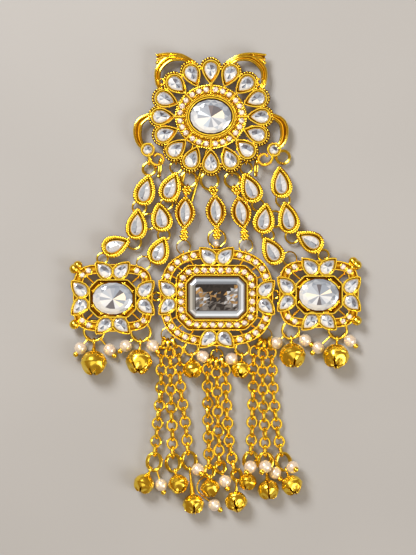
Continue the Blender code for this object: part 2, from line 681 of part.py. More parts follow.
def centre_medallion():
    centre = np.array(MEDALLION_CENTRES["centre"])
    top = SETTING_Z + SETTING_HEIGHT
    trough = SETTING_Z + TROUGH_HEIGHT
    seat = (CENTRE_STONE[0] + STONE_GAP, CENTRE_STONE[1] + STONE_GAP)
    wall = (seat[0] + CENTRE_BEZEL_WALL, seat[1] + CENTRE_BEZEL_WALL)
    border = cut_box(CENTRE_BORDER, CENTRE_BORDER_CHAMFER)
    outer_wall = cut_box(wall, CENTRE_STONE_CHAMFER + 0.3)
    inner_wall = cut_box(seat, CENTRE_STONE_CHAMFER)
    lip = inset(border, TROUGH_LIP)
    levels = ((border, SETTING_Z + 0.02), (border, top - LIP_DROP), (lip, top - LIP_DROP),
              (inset(lip, TROUGH_SLOPE), trough), (outer_wall, trough), (outer_wall, top + CENTRE_RISE),
              (inner_wall, top + CENTRE_RISE), (inner_wall, SETTING_Z + SEAT_HEIGHT))
    ring_shapes, regions = outer_ring(centre, CENTRE_BAND, CENTRE_BAND_POWER, CENTRE_PEAR)
    shapes = [stack(levels)] + ring_shapes
    for name, ring, radius, cluster, tip, tail, low_ring, low_radius in MARQUISES:
        holder = (low_ring[0], CENTRE_BAND[1] * (1 - (abs(low_ring[0]) / CENTRE_BAND[0]) ** 2 * 0.22))
        shapes += held_eye(low_ring, low_radius, holder, regions)
    for name, ring, radius, holder, pearls in BELL_RINGS:
        if name.startswith("middle"):
            shapes += held_eye(ring, radius, holder, regions)
    for name, ring, radius, holder in TASSEL_RINGS:
        shapes += held_eye(ring, radius, holder, regions)
    for side, outward in (("left", -1), ("right", 1)):
        joint_centre = MEDALLION_CENTRES[side]
        joint = (joint_centre[0] - outward * SIDE_JOINT, joint_centre[1] * 0.5)
        shapes += held_eye(joint, SIDE_JOINT_RING, (outward * CENTRE_BAND[0], joint[1]), regions)
    solid("centre_frame", shapes, GOLD, SETTING_DETAIL)
    cut_stone("centre_stone", cut_box(CENTRE_STONE, CENTRE_STONE_CHAMFER),
              CENTRE_STONE_CROWN, SMOKED)


# Link chains and marquise drops

def pear_links():
    before = {}
    for name, tip, tail, ring, radius in PEAR_LINKS:
        chain = name[:-2]
        side = "left" if "left" in name else "right"
        middle = (np.array(tip) + np.array(tail)) / 2
        length = float(np.linalg.norm(np.array(tip) - np.array(tail)))
        lean = math.atan2(-(tip[0] - tail[0]), tip[1] - tail[1])
        outline = turned(pear(LINK_WIDTH, length), middle, lean)
        regions = [(outline, None)]
        shapes = [stone_setting(outline)]
        if chain in before:
            shapes += held_eye(*before[chain], middle, regions)
        else:
            head, head_radius, holder = CHAIN_HEADS[chain]
            shapes += soldered_ring(head, head_radius, middle, regions)
        shapes += soldered_ring(ring, radius, middle, regions)
        if name.endswith("2"):
            cross = CROSS_RINGS[side]
            if chain.startswith("inner"):
                shapes += soldered_ring(cross, CROSS_RING, middle, regions)
            else:
                shapes += held_eye(cross, CROSS_RING, middle, regions)
        before[chain] = (ring, radius)
        solid("pear_link_" + name, shapes, GOLD, SETTING_DETAIL)


def marquise_drops():
    for name, ring, radius, cluster, tip, tail, low_ring, low_radius in MARQUISES:
        middle = (np.array(tip) + np.array(tail)) / 2
        length = float(np.linalg.norm(np.array(tip) - np.array(tail)))
        lean = math.atan2(-(tip[0] - tail[0]), tip[1] - tail[1])
        bead = (*cluster, RING_Z + RING_WIRE + CLEARANCE + CLUSTER)
        outline = turned(marquise(MARQUISE_WIDTH, length), middle, lean)
        regions = [(outline, None)]
        shapes = [stone_setting(outline), ball(bead, CLUSTER)]
        shapes.append(rod(((*cluster, NECK_Z + 0.3), (*toward(tip, tail, 1.5), NECK_Z + 0.3)), 0.5))
        shapes += held_eye(ring, radius, cluster, regions)
        shapes += soldered_ring(low_ring, low_radius, middle, regions)
        low_bead = toward(tail, low_ring, CLUSTER * 0.7)
        shapes.append(ball((*low_bead, NECK_Z + 0.75), CLUSTER * 0.85))
        solid("marquise_drop_" + name, shapes, GOLD, SETTING_DETAIL)
        solid("hanging_ring_" + name, [jump_ring(ring, radius)], GOLD)


# Bells, pearls and tassels

def bell(name, ring, ring_radius, centre, radius):
    """Round bell with a neck and an eye round the ring that carries it."""
    middle = np.array((*centre, radius))
    place = np.array((*toward(ring, centre, ring_radius), RING_Z))
    rim = toward(place, middle, EYE_RADIUS)
    root = toward(middle, place, radius * 0.85)
    shapes = [ball(middle, radius, bands=4), eye(ring, ring_radius, centre)]
    shapes.append(rod((root, rim), (BELL_NECK, 0.3)))
    solid(name, shapes, GOLD)


def pearl_on_stem(ring, radius, path):
    """Pearl at the end of a stem that starts on the ring's wire."""
    start = (*toward(ring, path[0][:2], radius), RING_Z)
    return [rod((start, *path), STEM_WIRE), ball(path[-1], PEARL)]


def bell_rings():
    bells = {name: (centre, radius) for name, centre, radius in RING_BELLS}
    for name, ring, radius, holder, pearls in BELL_RINGS:
        shapes = [jump_ring(ring, radius)]
        for place in pearls:
            shapes += pearl_on_stem(ring, radius, ((*place, PEARL),))
        solid("bell_ring_" + name, shapes, GOLD, STRING_DETAIL)
        bell("bell_" + name, ring, radius, *bells[name])


def tassels():
    rings = {}
    for name, ring, radius, holder in TASSEL_RINGS:
        solid("tassel_ring_" + name, [jump_ring(ring, radius)], GOLD)
        rings[name] = (ring, radius)
    ends = {}
    for name, tassel, route, end in CHAINS:
        ring, radius = rings[tassel]
        eye_place = toward(ring, route[0], radius + EYE_RADIUS)
        links = [(*place, CHAIN_Z) for place in route]
        shapes = [cord_tube(links, CHAIN_RADIUS, 5), eye(ring, radius, route[0])]
        shapes.append(rod(((*eye_place, RING_Z), (*toward(route[0], route[1], 1.0), CHAIN_Z)), STEM_WIRE))
        shapes.append(jump_ring(end, END_RING))
        joint = toward(end, route[-1], END_RING)
        shapes.append(rod(((*joint, RING_Z), (*toward(route[-1], route[-2], 1.0), CHAIN_Z)), STEM_WIRE))
        for path in CHAIN_PEARLS.get(name, ()):
            shapes += pearl_on_stem(end, END_RING, path)
        solid("tassel_chain_" + name, shapes, GOLD, STRING_DETAIL)
        ends[name] = end
    for name, centre, radius in TASSEL_BELLS:
        bell("tassel_bell_" + name, ends[name], END_RING, centre, radius)


# Hair pin

def hair_pin():
    plate = block((*ROSETTE_CENTRE, PIN_PLATE[2] / 2), PIN_PLATE)
    shapes = [plate]
    for root, tip in zip(PRONG_ROOTS, PRONG_TIPS):
        shapes.append(rod(((*root, PRONG_WIRE), (*tip, PRONG_WIRE)), PRONG_WIRE, sides=8))
    solid("hair_pin", shapes, GOLD)


def stand_on_origin():
    """Move the whole brooch so that its box is centred over the origin and stands on z = 0."""
    corners = np.array([vert.co[:] for piece in bpy.data.objects for vert in piece.data.vertices])
    low, high = corners.min(axis=0), corners.max(axis=0)
    for piece in bpy.data.objects:
        piece.location = (-(low[0] + high[0]) / 2, -(low[1] + high[1]) / 2, -low[2])


clear_scene()
rosette()
side_medallion("left")
side_medallion("right")
centre_medallion()
pear_links()
marquise_drops()
bell_rings()
tassels()
hair_pin()
stand_on_origin()
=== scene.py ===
import math

import bpy
import numpy as np
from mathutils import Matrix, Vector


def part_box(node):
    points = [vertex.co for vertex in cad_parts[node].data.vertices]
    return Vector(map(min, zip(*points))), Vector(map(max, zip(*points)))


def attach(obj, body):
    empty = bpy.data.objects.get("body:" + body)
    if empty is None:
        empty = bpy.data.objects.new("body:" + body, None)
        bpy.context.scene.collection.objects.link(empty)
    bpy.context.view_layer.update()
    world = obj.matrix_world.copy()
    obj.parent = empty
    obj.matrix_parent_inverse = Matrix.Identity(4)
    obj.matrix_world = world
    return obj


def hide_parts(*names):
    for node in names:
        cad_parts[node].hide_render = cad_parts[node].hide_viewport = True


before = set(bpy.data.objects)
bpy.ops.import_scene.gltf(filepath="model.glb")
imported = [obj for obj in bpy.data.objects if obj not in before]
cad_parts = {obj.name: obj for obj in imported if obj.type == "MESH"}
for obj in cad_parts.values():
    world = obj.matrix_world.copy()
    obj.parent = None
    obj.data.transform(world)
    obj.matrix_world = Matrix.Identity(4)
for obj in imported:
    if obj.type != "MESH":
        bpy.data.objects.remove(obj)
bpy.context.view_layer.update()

bl_info = {
    "name": "Hair Brooch",
    "version": (1, 0, 0),
    "blender": (4, 5, 0),
    "location": "View3D > Sidebar > Brooch",
    "description": "Dresses the brooch's frame with beaded settings, cut stones, pearls, bells and chains",
    "category": "Add Mesh",
}

# Lengths are in millimetres about the middle of the centre stone, and MM makes them metres
MM = 0.001
STONE_LOW, STONE_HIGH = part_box("centre_stone")
ORIGIN = np.array(((STONE_LOW[0] + STONE_HIGH[0]) / 2, (STONE_LOW[1] + STONE_HIGH[1]) / 2, 0.0)) / MM

# Heights: rings lie low, settings lie over them
RING_WIRE = 0.33
FULL_RING_WIRE = RING_WIRE * 1.42
RING_Z = 1.6
EYE_WIRE = 0.24
EYE_RADIUS = 0.9
SETTING_Z = 2.25
NECK_Z = 2.65

# Rosette
ROSETTE_CENTRE = np.array((-1.7, 57.6))
ROSETTE_STONE = (6.6, 5.4)
ROSETTE_BEZEL = (7.95, 6.8)
ROSETTE_CORE = (11.4, 10.3)
ROSETTE_CHATONS = (9.95, 8.75)
ROSETTE_PEARS = 16
ROSETTE_PEAR = (5.75, 8.0)
ROSETTE_PEAR_STONE = (3.95, 5.5)
ROSETTE_PEAR_REACH = 3.9
ROSETTE_BARS = 8
SCALLOP_RADIUS = 3.2
HORN_PATH = ((-5.4, 16.4), (-8.6, 18.6), (-13.2, 18.5), (-16.6, 15.4), (-17.0, 11.4), (-16.1, 8.6))
LEAF_PATH = ((-5.2, 17.4), (-9.4, 19.4), (-13.6, 19.7), (-17.3, 19.1))
BARB_PATH = ((-13.6, 19.6), (-15.6, 18.6), (-17.0, 17.3))
CURL_PATH = ((-16.9, 11.6), (-16.2, 10.3), (-15.0, 10.4), (-14.7, 11.5), (-15.5, 12.0))
CRESCENT_PATH = ((-18.4, 1.0), (-22.6, -1.6), (-23.5, -5.2), (-22.6, -8.6), (-20.4, -10.4))
HOOK_PATH = ((-20.0, -11.4), (-19.6, -13.5), (-18.7, -14.9), (-17.3, -15.5), (-15.9, -15.0), (-15.2, -13.7),
             (-15.8, -12.4), (-17.2, -11.9), (-18.0, -12.6))
ROUND_OFFSET = (-20.2, -10.6)
ROUND_SETTING = 2.3

# Medallions
MEDALLIONS = {"left": (-33.2, 0.0), "right": (32.8, 1.2)}
SIDES = (("left", -1), ("right", 1))
SIDE_STONE = (6.4, 5.1)
SIDE_BEZEL = (7.6, 6.2)
SIDE_BEZEL_CHAMFER = 2.7
SIDE_BAND = (11.2, 9.3)
SIDE_PEARS = (10.75, 9.0)
SIDE_SHIFT = (0.1, -0.4)
SIDE_BAND_POWER = 4.0
SIDE_DROP = -0.2
SIDE_CHATONS = ((7.72, 8.73), (9.8, 7.26))
SIDE_JOINT = 14.1
SIDE_JOINT_RING = 1.3
CENTRE_STONE = (9.1, 6.5)
CENTRE_SHIFT = np.array((0.15, -0.3))
CENTRE_STONE_CHAMFER = 2.2
CENTRE_TABLE = 2.45
CENTRE_BEZEL = (9.95, 7.35)
CENTRE_BORDER = (13.1, 10.5)
CENTRE_BORDER_CHAMFER = 3.8
CENTRE_BAND = (16.6, 14.0)
CENTRE_BAND_POWER = 2.8
BAND_PEAR = (5.35, 7.4)
BAND_PEAR_STONE = (3.7, 5.3)
BAND_PEAR_FULLNESS = 0.68
BAND_WIDTH = 3.1
PEAR_SPACING = 6.0
CENTRE_PEARS = (16.0, 13.5)
KNOB = 1.6
KNOB_SPOT = (12.2, 8.9)
CORNER_EYE = (7.8, -8.3)
CHATON = 1.0

# Pear links: name, tip, tail, the ring after it, that ring's radius
LINK_WIDTH = 7.1
LINK_STONE = (3.6, 0.68)
LINK_RIM = 0.58
PEAR_LINKS = (
    ("outer_left_1", (-21.4, 38.9), (-24.0, 29.6), (-24.6, 28.6), 2.2),
    ("outer_left_2", (-24.9, 28.1), (-25.9, 18.6), (-26.3, 17.4), 2.2),
    ("outer_left_3", (-27.7, 18.0), (-36.1, 14.8), (-36.5, 12.2), 1.7),
    ("inner_left_1", (-12.7, 39.6), (-16.2, 30.8), (-15.9, 29.8), 1.9),
    ("inner_left_2", (-18.4, 30.0), (-16.9, 21.2), (-16.8, 19.7), 1.9),
    ("inner_left_3", (-16.5, 19.0), (-19.8, 10.8), (-23.3, 10.7), 2.2),
    ("inner_right_1", (8.9, 39.4), (12.7, 30.6), (13.4, 29.4), 1.9),
    ("inner_right_2", (16.2, 29.8), (14.6, 20.5), (16.6, 19.6), 1.9),
    ("inner_right_3", (15.4, 18.9), (20.0, 10.9), (23.6, 12.2), 2.2),
    ("outer_right_1", (20.2, 41.6), (21.2, 31.9), (21.4, 31.0), 2.2),
    ("outer_right_2", (22.0, 30.3), (23.9, 20.6), (24.4, 19.3), 2.2),
    ("outer_right_3", (25.8, 20.2), (33.6, 15.7), (34.4, 13.3), 1.7),
)
CHAIN_HEADS = {
    "outer_left": ((-21.5, 40.9), 2.0, (-21.9, 47.2)),
    "inner_left": ((-12.9, 41.4), 1.9, (-12.8, 46.2)),
    "inner_right": ((9.6, 41.2), 1.9, (9.3, 46.6)),
    "outer_right": ((21.4, 44.7), 2.1, (18.1, 46.6)),
}
# Stirrups seen edge-on between the rosette's hooks and the inner chains
STIRRUPS = {"inner_left": ((-17.9, 44.0), (-18.4, 38.2)), "inner_right": ((12.9, 43.6), (12.6, 38.6))}
CROSS_RINGS = {"left": (-21.5, 24.1), "right": (18.8, 24.9)}
CROSS_RING = 2.5
# Marquise drops: hanging ring and radius, cluster, tip, tail, bottom ring and radius
MARQUISE_WIDTH = 7.0
MARQUISE_STONE = (3.3, 0.76)
CLUSTER_DROP = 2.6
MARQUISES = (
    ("left", (-8.8, 37.6), 2.5, (-9.4, 34.1), (-9.8, 31.8), (-10.2, 21.8), (-10.5, 15.9), 2.2),
    ("middle", (-2.1, 37.2), 2.8, (-0.9, 34.0), (-0.4, 32.4), (0.2, 22.2), (0.2, 18.6), 2.8),
    ("right", (5.2, 37.4), 2.4, (6.4, 34.2), (7.1, 31.8), (8.8, 21.9), (9.5, 16.4), 2.2),
)
# Jump rings under the medallions: name, centre, radius, place that holds it, pearls
BELL_RINGS = (
    ("side_1", (-39.2, -11.0), 3.2, ("left", -1), ((-43.5, -16.6), (-34.2, -17.0))),
    ("side_2", (-24.2, -11.3), 3.1, ("left", 1), ((-29.0, -15.8), (-20.4, -15.8))),
    ("side_3", (23.9, -10.8), 2.7, ("right", -1), ((19.4, -14.9), (28.5, -14.0))),
    ("side_4", (39.0, -10.6), 2.9, ("right", 1), ((32.7, -16.4), (42.9, -14.2))),
    ("middle_1", (-8.0, -16.5), 2.2, (-7.4, -13.6), ((-4.3, -19.2),)),
    ("middle_2", (8.4, -16.6), 2.2, (7.4, -13.6), ((4.9, -20.0),)),
)
# Bells: name, place and radius, how far the mouth tips up and turns about its axis, in degrees
RING_BELLS = (
    ("side_1", (-39.1, -21.4), 4.3, 15, 20),
    ("side_2", (-24.7, -21.0), 4.3, 40, 10),
    ("side_3", (24.4, -19.0), 4.3, 20, 55),
    ("side_4", (38.3, -19.3), 4.3, 35, 30),
    ("middle_1", (-7.6, -23.4), 3.2, 10, 40),
    ("middle_2", (7.9, -23.5), 3.1, 45, 15),
)
TASSEL_BELLS = (
    ("left_1", (-23.2, -60.1), 3.4, 12, 35),
    ("left_2", (-12.1, -60.2), 3.35, 25, 0),
    ("left_3", (-7.3, -66.6), 3.5, 30, 50),
    ("middle_1", (-1.9, -61.5), 3.2, 20, 10),
    ("middle_3", (6.4, -65.8), 3.6, 50, 30),
    ("right_1", (10.1, -59.5), 3.0, 15, 20),
    ("right_2", (16.7, -62.0), 3.5, 15, 45),
    ("right_3", (24.3, -60.5), 3.5, 35, 20),
)
# Tassel rings: name, centre, radius, place that holds it
TASSEL_RINGS = {
    "left": ((-15.4, -12.2), 2.25, (-13.0, -10.0)),
    "middle": ((0.2, -18.8), 1.9, (0.0, -13.9)),
    "right": ((15.6, -12.4), 2.25, (13.0, -10.0)),
}
# Chosen routes of the nine chains, and the ring at the end of each
CHAINS = (
    ("left_1", "left", ((-17.6, -18.7), (-17.8, -30.2), (-18.9, -41.6), (-19.5, -48.6)), (-19.8, -51.6)),
    ("left_2", "left", ((-14.8, -18.7), (-14.6, -30.2), (-14.2, -41.2), (-14.0, -48.8)), (-13.9, -51.9)),
    ("left_3", "left", ((-12.0, -18.9), (-11.4, -29.4), (-10.0, -39.9), (-9.2, -48.2)), (-8.9, -51.2)),
    ("middle_1", "middle", ((-2.8, -23.4), (-2.7, -35.0), (-2.5, -46.0), (-2.3, -52.6)), (-2.3, -55.6)),
    ("middle_2", "middle", ((0.1, -23.4), (0.4, -35.0), (0.8, -45.7), (1.0, -51.2)), (1.2, -54.2)),
    ("middle_3", "middle", ((2.9, -23.8), (3.3, -35.0), (4.2, -46.8), (5.4, -53.6)), (6.4, -56.8)),
    ("right_1", "right", ((12.1, -18.9), (11.9, -30.1), (11.5, -40.6), (11.2, -48.2)), (11.1, -51.2)),
    ("right_2", "right", ((14.9, -18.9), (15.0, -30.3), (15.4, -40.7), (15.7, -48.4)), (15.7, -51.5)),
    ("right_3", "right", ((17.7, -18.9), (18.3, -30.1), (19.3, -40.6), (20.6, -48.6)), (21.2, -51.6)),
)
END_RING = 1.4
OVAL_RING = {"left": (2.2, 2.8), "middle": (1.5, 1.9), "right": (2.2, 2.8)}
PEARL = 1.9
PEARL_LUSTRE = 2.05
# Pearls on the chains' end rings: the stem's bends and the pearl's centre, heights included
CHAIN_PEARLS = {
    "left_1": (((-17.6, -60.4, PEARL),),),
    "left_3": (((-5.9, -55.4, 3.4),),),
    "middle_1": (((-5.7, -59.6, 1.2), (-5.7, -62.6, 1.2), (-0.6, -66.8, PEARL)),),
    "middle_2": (((2.8, -59.2, PEARL),),),
    "right_1": (((12.9, -51.8, 2.6), (10.9, -54.4, 4.7)),),
    "right_2": (((17.4, -52.0, 2.6), (15.7, -54.3, 4.7)), ((18.9, -56.6, PEARL),)),
    "right_3": (((24.5, -54.6, 3.8),),),
}
STEM_WIRE = 0.26
CHAIN_Z = 1.87
LINK_REACH = 1.72
LINK_SIDE = 1.56
LINK_WIRE = 0.42
LINK_PITCH = 2.85
TASSEL_STEP = 1.5

# Hair pin
PIN_PLATE = (20.0, 11.0, 1.9)
PRONG_WIRE = 0.45
PRONG_ROOTS = ((-5.9, 54.0), (-1.0, 54.0))
PRONG_TIPS = ((-13.0, 30.0), (-8.1, 30.0))

# Camera: millimetres in a photograph pixel at the height of the settings' rims, the picture's rows and its
# middle, and where the centre stone lies in it
PIXEL = 0.32
SCALE_Z = 3.5
PICTURE_ROWS = 555
PICTURE_MIDDLE = (208, 277.5)
STONE_SPOT = (216.2, 296.6)
CAMERA_DISTANCE = 0.75
FLOOR_REACH = 3.0

# The four ways out of a middle: right or left, and up or down
CORNERS = ((1, 1), (1, -1), (-1, 1), (-1, -1))


# Flat outlines, counter-clockwise arrays of x and y

def unit(vectors):
    """Each vector divided by its own length."""
    return vectors / np.linalg.norm(vectors, axis=-1, keepdims=True)


def rays(angles):
    """Unit vectors at the angles: x = cos t, y = sin t."""
    return np.column_stack((np.cos(angles), np.sin(angles)))


def at_lengths(line, where, share=False):
    """Points of a line at given lengths along it, or at given shares of its whole length."""
    length = np.concatenate(([0.0], np.cumsum(np.linalg.norm(np.diff(line, axis=0), axis=1))))
    where = where * length[-1] if share else where
    return np.column_stack([np.interp(where, length, line[:, k]) for k in range(line.shape[1])])


def even(outline, count, closed=True):
    """Points at equal distances along the outline, starting at its first point."""
    line = np.vstack((outline, outline[:1])) if closed else np.asarray(outline, dtype=float)
    return at_lengths(line, np.arange(count) / count if closed else np.linspace(0, 1, count), share=True)


def outline_length(outline, closed=True):
    """Sum of the distances between neighbouring points."""
    line = np.vstack((outline, outline[:1])) if closed else np.asarray(outline)
    return float(np.linalg.norm(np.diff(line, axis=0), axis=1).sum())


def oval(half, count=64, centre=(0, 0)):
    """Ellipse: x = a cos t, y = b sin t."""
    return rays(np.arange(count) * 2 * math.pi / count) * half + centre


def pear(width, length, count=48, fullness=0.8):
    """Tip at +Y: x = sin t sin(t/2) to the power of the fullness, y = cos t, scaled to the width and length."""
    t = np.linspace(0, 2 * math.pi, 400, endpoint=False)
    across = -np.sin(t) * np.abs(np.sin(t / 2)) ** fullness
    fine = np.column_stack((across / np.abs(across).max() * width / 2, length / 2 * np.cos(t)))
    return even(fine, count)


def marquise(width, length, count=48):
    """Two parabolas, x = 1 - y squared, that meet in a tip at each end."""
    y = np.linspace(1, -1, 200, endpoint=False)
    side = np.column_stack((-(1 - y ** 2) * width / 2, y * length / 2))
    return even(np.vstack((side, -side)), count)


def soft_box(half, power, count=96):
    """Superellipse, whose corners fill out as the power grows."""
    ray = oval((1.0, 1.0), count * 4)
    reach = (np.abs(ray[:, 0]) ** power + np.abs(ray[:, 1]) ** power) ** (-1.0 / power)
    return even(ray * reach[:, None] * np.array(half), count)


def cut_box(half, chamfer, count=96, rounding=0.35):
    """Rectangle with cut corners, each corner eased by averaging over the rounding."""
    a, b = half
    corners = np.array([(a, -b + chamfer), (a, b - chamfer), (a - chamfer, b), (-a + chamfer, b),
                        (-a, b - chamfer), (-a, -b + chamfer), (-a + chamfer, -b), (a - chamfer, -b)])
    fine = even(corners, count * 6)
    reach = max(1, int(rounding / outline_length(corners) * count * 6))
    eased = np.mean([np.roll(fine, k, axis=0) for k in range(-reach, reach + 1)], axis=0)
    return even(eased, count)


def turned(outline, centre, angle):
    """The outline turned about the origin by the angle, then moved to the centre."""
    cos, sin = math.cos(angle), math.sin(angle)
    return outline @ np.array(((cos, sin), (-sin, cos))) + np.array(centre)


def mitre(outline):
    """Inward direction at each point, long enough that both neighbouring sides move in by 1."""
    edge = unit(np.roll(outline, -1, axis=0) - outline)
    normal = np.column_stack((-edge[:, 1], edge[:, 0]))
    before = np.roll(normal, 1, axis=0)
    return (normal + before) / np.maximum(1 + (normal * before).sum(axis=1), 0.35)[:, None]


def inset(outline, distance):
    """The outline with each side moved inwards by the distance, or outwards where it is negative."""
    return outline + mitre(outline) * distance


def curve_through(points, count):
    """Catmull-Rom curve, evenly sampled."""
    points = np.array(points, dtype=float)
    padded = np.vstack((2 * points[0] - points[1], points, 2 * points[-1] - points[-2]))
    share = np.linspace(0, len(points) - 1, 40 * len(points))
    piece = np.minimum(share.astype(int), len(points) - 2)
    t = (share - piece)[:, None]
    a, b, c, d = (padded[piece + k] for k in range(4))
    curve = 0.5 * (2 * b + (c - a) * t + (2 * a - 5 * b + 4 * c - d) * t ** 2
                   + (3 * b - a - 3 * c + d) * t ** 3)
    return even(curve, count, closed=False)


def at_height(flat, z):
    """Plan points raised to one height."""
    flat = np.asarray(flat, dtype=float)
    return np.column_stack((flat, np.full(len(flat), z)))


def toward(start, end, distance):
    """Point at the distance from the start on the way to the end."""
    start, end = np.array(start, dtype=float), np.array(end, dtype=float)
    return start + unit(end - start) * distance


# Closed surfaces: vertices, and lists of faces with equal numbers of corners

def grid(points, closed_rows=False):
    """Quads over a grid of rows and columns; columns close round, rows close too or end in flat caps."""
    rows, columns = points.shape[:2]
    index = np.arange(rows * columns).reshape(rows, columns)
    here = index if closed_rows else index[:-1]
    above = np.roll(index, -1, axis=0) if closed_rows else index[1:]
    quads = np.stack((here, np.roll(here, -1, axis=1), np.roll(above, -1, axis=1), above), axis=-1)
    faces = [quads.reshape(-1, 4)]
    if not closed_rows:
        faces += [index[:1, ::-1], index[-1:]]
    return points.reshape(-1, 3), faces


def beside(path, closed, up=(0, 0, 1)):
    """Unit vectors across and above a path: across = tangent x up, above = across x tangent."""
    tangent = unit(np.roll(path, -1, 0) - np.roll(path, 1, 0) if closed else np.gradient(path, axis=0))
    across = unit(np.cross(tangent, np.asarray(up, dtype=float)))
    return across[:, None], np.cross(across, tangent)[:, None]


def wire(path, radius, sides=8, closed=False, up=(0, 0, 1), flatness=1.0):
    """A circle carried along a path: p(u) + r(u) (cos v across + flatness sin v above)."""
    path = np.asarray(path, dtype=float)
    across, above = beside(path, closed, up)
    v = (2 * math.pi * (np.arange(sides) + 0.5) / sides)[None, :, None]
    radius = np.broadcast_to(np.asarray(radius, dtype=float).reshape(-1, 1, 1), (len(path), 1, 1))
    return grid(path[:, None] + radius * (np.cos(v) * across + flatness * np.sin(v) * above), closed)


def rounded_wire(path, radius, sides=8, up=(0, 0, 1)):
    """A wire whose two ends close in half rounds: the end radii shrink as cos over the last points."""
    path = np.asarray(path, dtype=float)
    radius = np.broadcast_to(radius, len(path))
    lean = np.array((0.15, 0.55, 0.85))
    start, end = unit(path[0] - path[1]), unit(path[-1] - path[-2])
    reach = np.sqrt(1 - lean ** 2)[:, None]
    path = np.vstack((path[0] + start * reach * radius[0], path, path[-1] + end * (reach * radius[-1])[::-1]))
    radius = np.concatenate((lean * radius[0], radius, lean[::-1] * radius[-1]))
    return wire(path, radius, sides, up=up)


def rod(start, end, radius, count=4, **ways):
    """A straight rounded wire, whose radius may be given for each of its points."""
    return rounded_wire(np.linspace(start, end, count), radius, **ways)


def ring(centre, radius, thickness, axis=(0, 0, 1), around=32, sides=10, stretch=None):
    """Torus about the axis; stretch=(direction, factor) pulls it into an oval."""
    axis = unit(np.array(axis, dtype=float))
    first = unit(np.cross(axis, (1.0, 0.0, 0.0) if abs(axis[0]) < 0.8 else (0.0, 1.0, 0.0)))
    second = np.cross(axis, first)
    angle = np.arange(around) * 2 * math.pi / around
    out = np.cos(angle)[:, None] * first + np.sin(angle)[:, None] * second
    if stretch:
        along = unit(np.array(stretch[0], dtype=float))
        out = out + (stretch[1] - 1) * (out @ along)[:, None] * along
    return wire(np.array(centre) + radius * out, thickness, sides, closed=True, up=axis)


def rope(path, radius, lay, sides=10, depth=0.2):
    """Two twisted strands on a closed path: r = R (1 + d cos(2v - 2 pi s / lay)), s the length along it."""
    turns = max(1, round(outline_length(path) / lay))
    path = even(path, turns * 6)
    across, above = beside(path, True)
    v = (2 * math.pi * np.arange(sides) / sides)[None, :, None]
    phase = (2 * math.pi * turns * np.arange(len(path)) / len(path))[:, None, None]
    reach = radius * (1 + depth * np.cos(2 * v - phase))
    return grid(path[:, None] + reach * (np.cos(v) * across + np.sin(v) * above), True)


def carried(outline, profile, closed=False):
    """A profile of (inset, height) carried round the outline. A closed one leaves a hole, else it is capped."""
    profile = np.array(profile)
    flat = outline + mitre(outline) * profile[:, 0, None, None]
    height = np.broadcast_to(profile[:, 1, None, None], flat.shape[:2] + (1,))
    return grid(np.concatenate((flat, height), axis=2), closed)


def loft(levels):
    """Outlines of equal point counts stacked at their heights."""
    return grid(np.stack([at_height(outline, z) for outline, z in levels]))


def right_of(path):
    """Level unit vectors square to a path, on its right: (ty, -tx) of its tangent t."""
    tangent = unit(np.gradient(path, axis=0))
    return np.column_stack((tangent[:, 1], -tangent[:, 0]))


def strap(path, half_width, section):
    """A section of (across, height), across being a share of the half width, carried along a plan path."""
    section = np.array(section)
    flat = path[:, None, :2] + half_width[:, None, None] * section[None, :, 0, None] * right_of(path)[:, None]
    return grid(np.concatenate((flat, path[:, 2, None, None] + section[None, :, 1, None]), axis=2))


def globe(around=12, bands=8):
    """Unit ball: rows of latitude from pole to pole."""
    lean = (math.pi * np.arange(1, bands) / bands)[:, None]
    turn = (2 * math.pi * np.arange(around) / around)[None]
    rows = np.stack((np.sin(lean) * np.cos(turn), np.sin(lean) * np.sin(turn),
                     -np.cos(lean) * np.ones_like(turn)), axis=2)
    verts = np.vstack((rows.reshape(-1, 3), ((0, 0, -1), (0, 0, 1))))
    index = np.arange((bands - 1) * around).reshape(bands - 1, around)
    after = np.roll(index, -1, axis=1)
    quads = np.stack((index[:-1], after[:-1], after[1:], index[1:]), axis=-1).reshape(-1, 4)
    south, north = len(verts) - 2, len(verts) - 1
    low = np.column_stack((np.full(around, south), after[0], index[0]))
    top = np.column_stack((np.full(around, north), index[-1], after[-1]))
    return verts, [quads, np.vstack((low, top))]


def copies(shape, centres, frames=None, sizes=1.0):
    """The shape repeated at each centre, turned by its frame and scaled by its size."""
    verts, faces = shape
    centres = np.asarray(centres, dtype=float)
    sizes = np.broadcast_to(sizes, len(centres))[:, None, None]
    body = np.broadcast_to(verts, (len(centres), *verts.shape))
    if frames is not None:
        body = body @ frames
    points = centres[:, None] + sizes * body
    shift = (np.arange(len(centres)) * len(verts))[:, None, None]
    return points.reshape(-1, 3), [(face[None] + shift).reshape(-1, face.shape[1]) for face in faces]


def balls(centres, radius, around=12, bands=8):
    """A ball at each centre, all of one size or each of its own."""
    return copies(globe(around, bands), centres, sizes=radius)


def grains(path, radius, spacing, closed=True):
    """Small beads of solder grain, side by side along a path."""
    count = max(2, round(outline_length(path, closed) / spacing))
    return balls(even(path, count, closed), radius, around=7, bands=5)


def outward(verts, faces):
    """The faces turned round if their signed volume says that they point inwards."""
    middle = verts.mean(axis=0)
    volume = 0.0
    for face in faces:
        corner = verts[face] - middle
        for k in range(1, face.shape[1] - 1):
            volume += float((corner[:, 0] * np.cross(corner[:, k], corner[:, k + 1])).sum())
    return faces if volume > 0 else [face[:, ::-1] for face in faces]


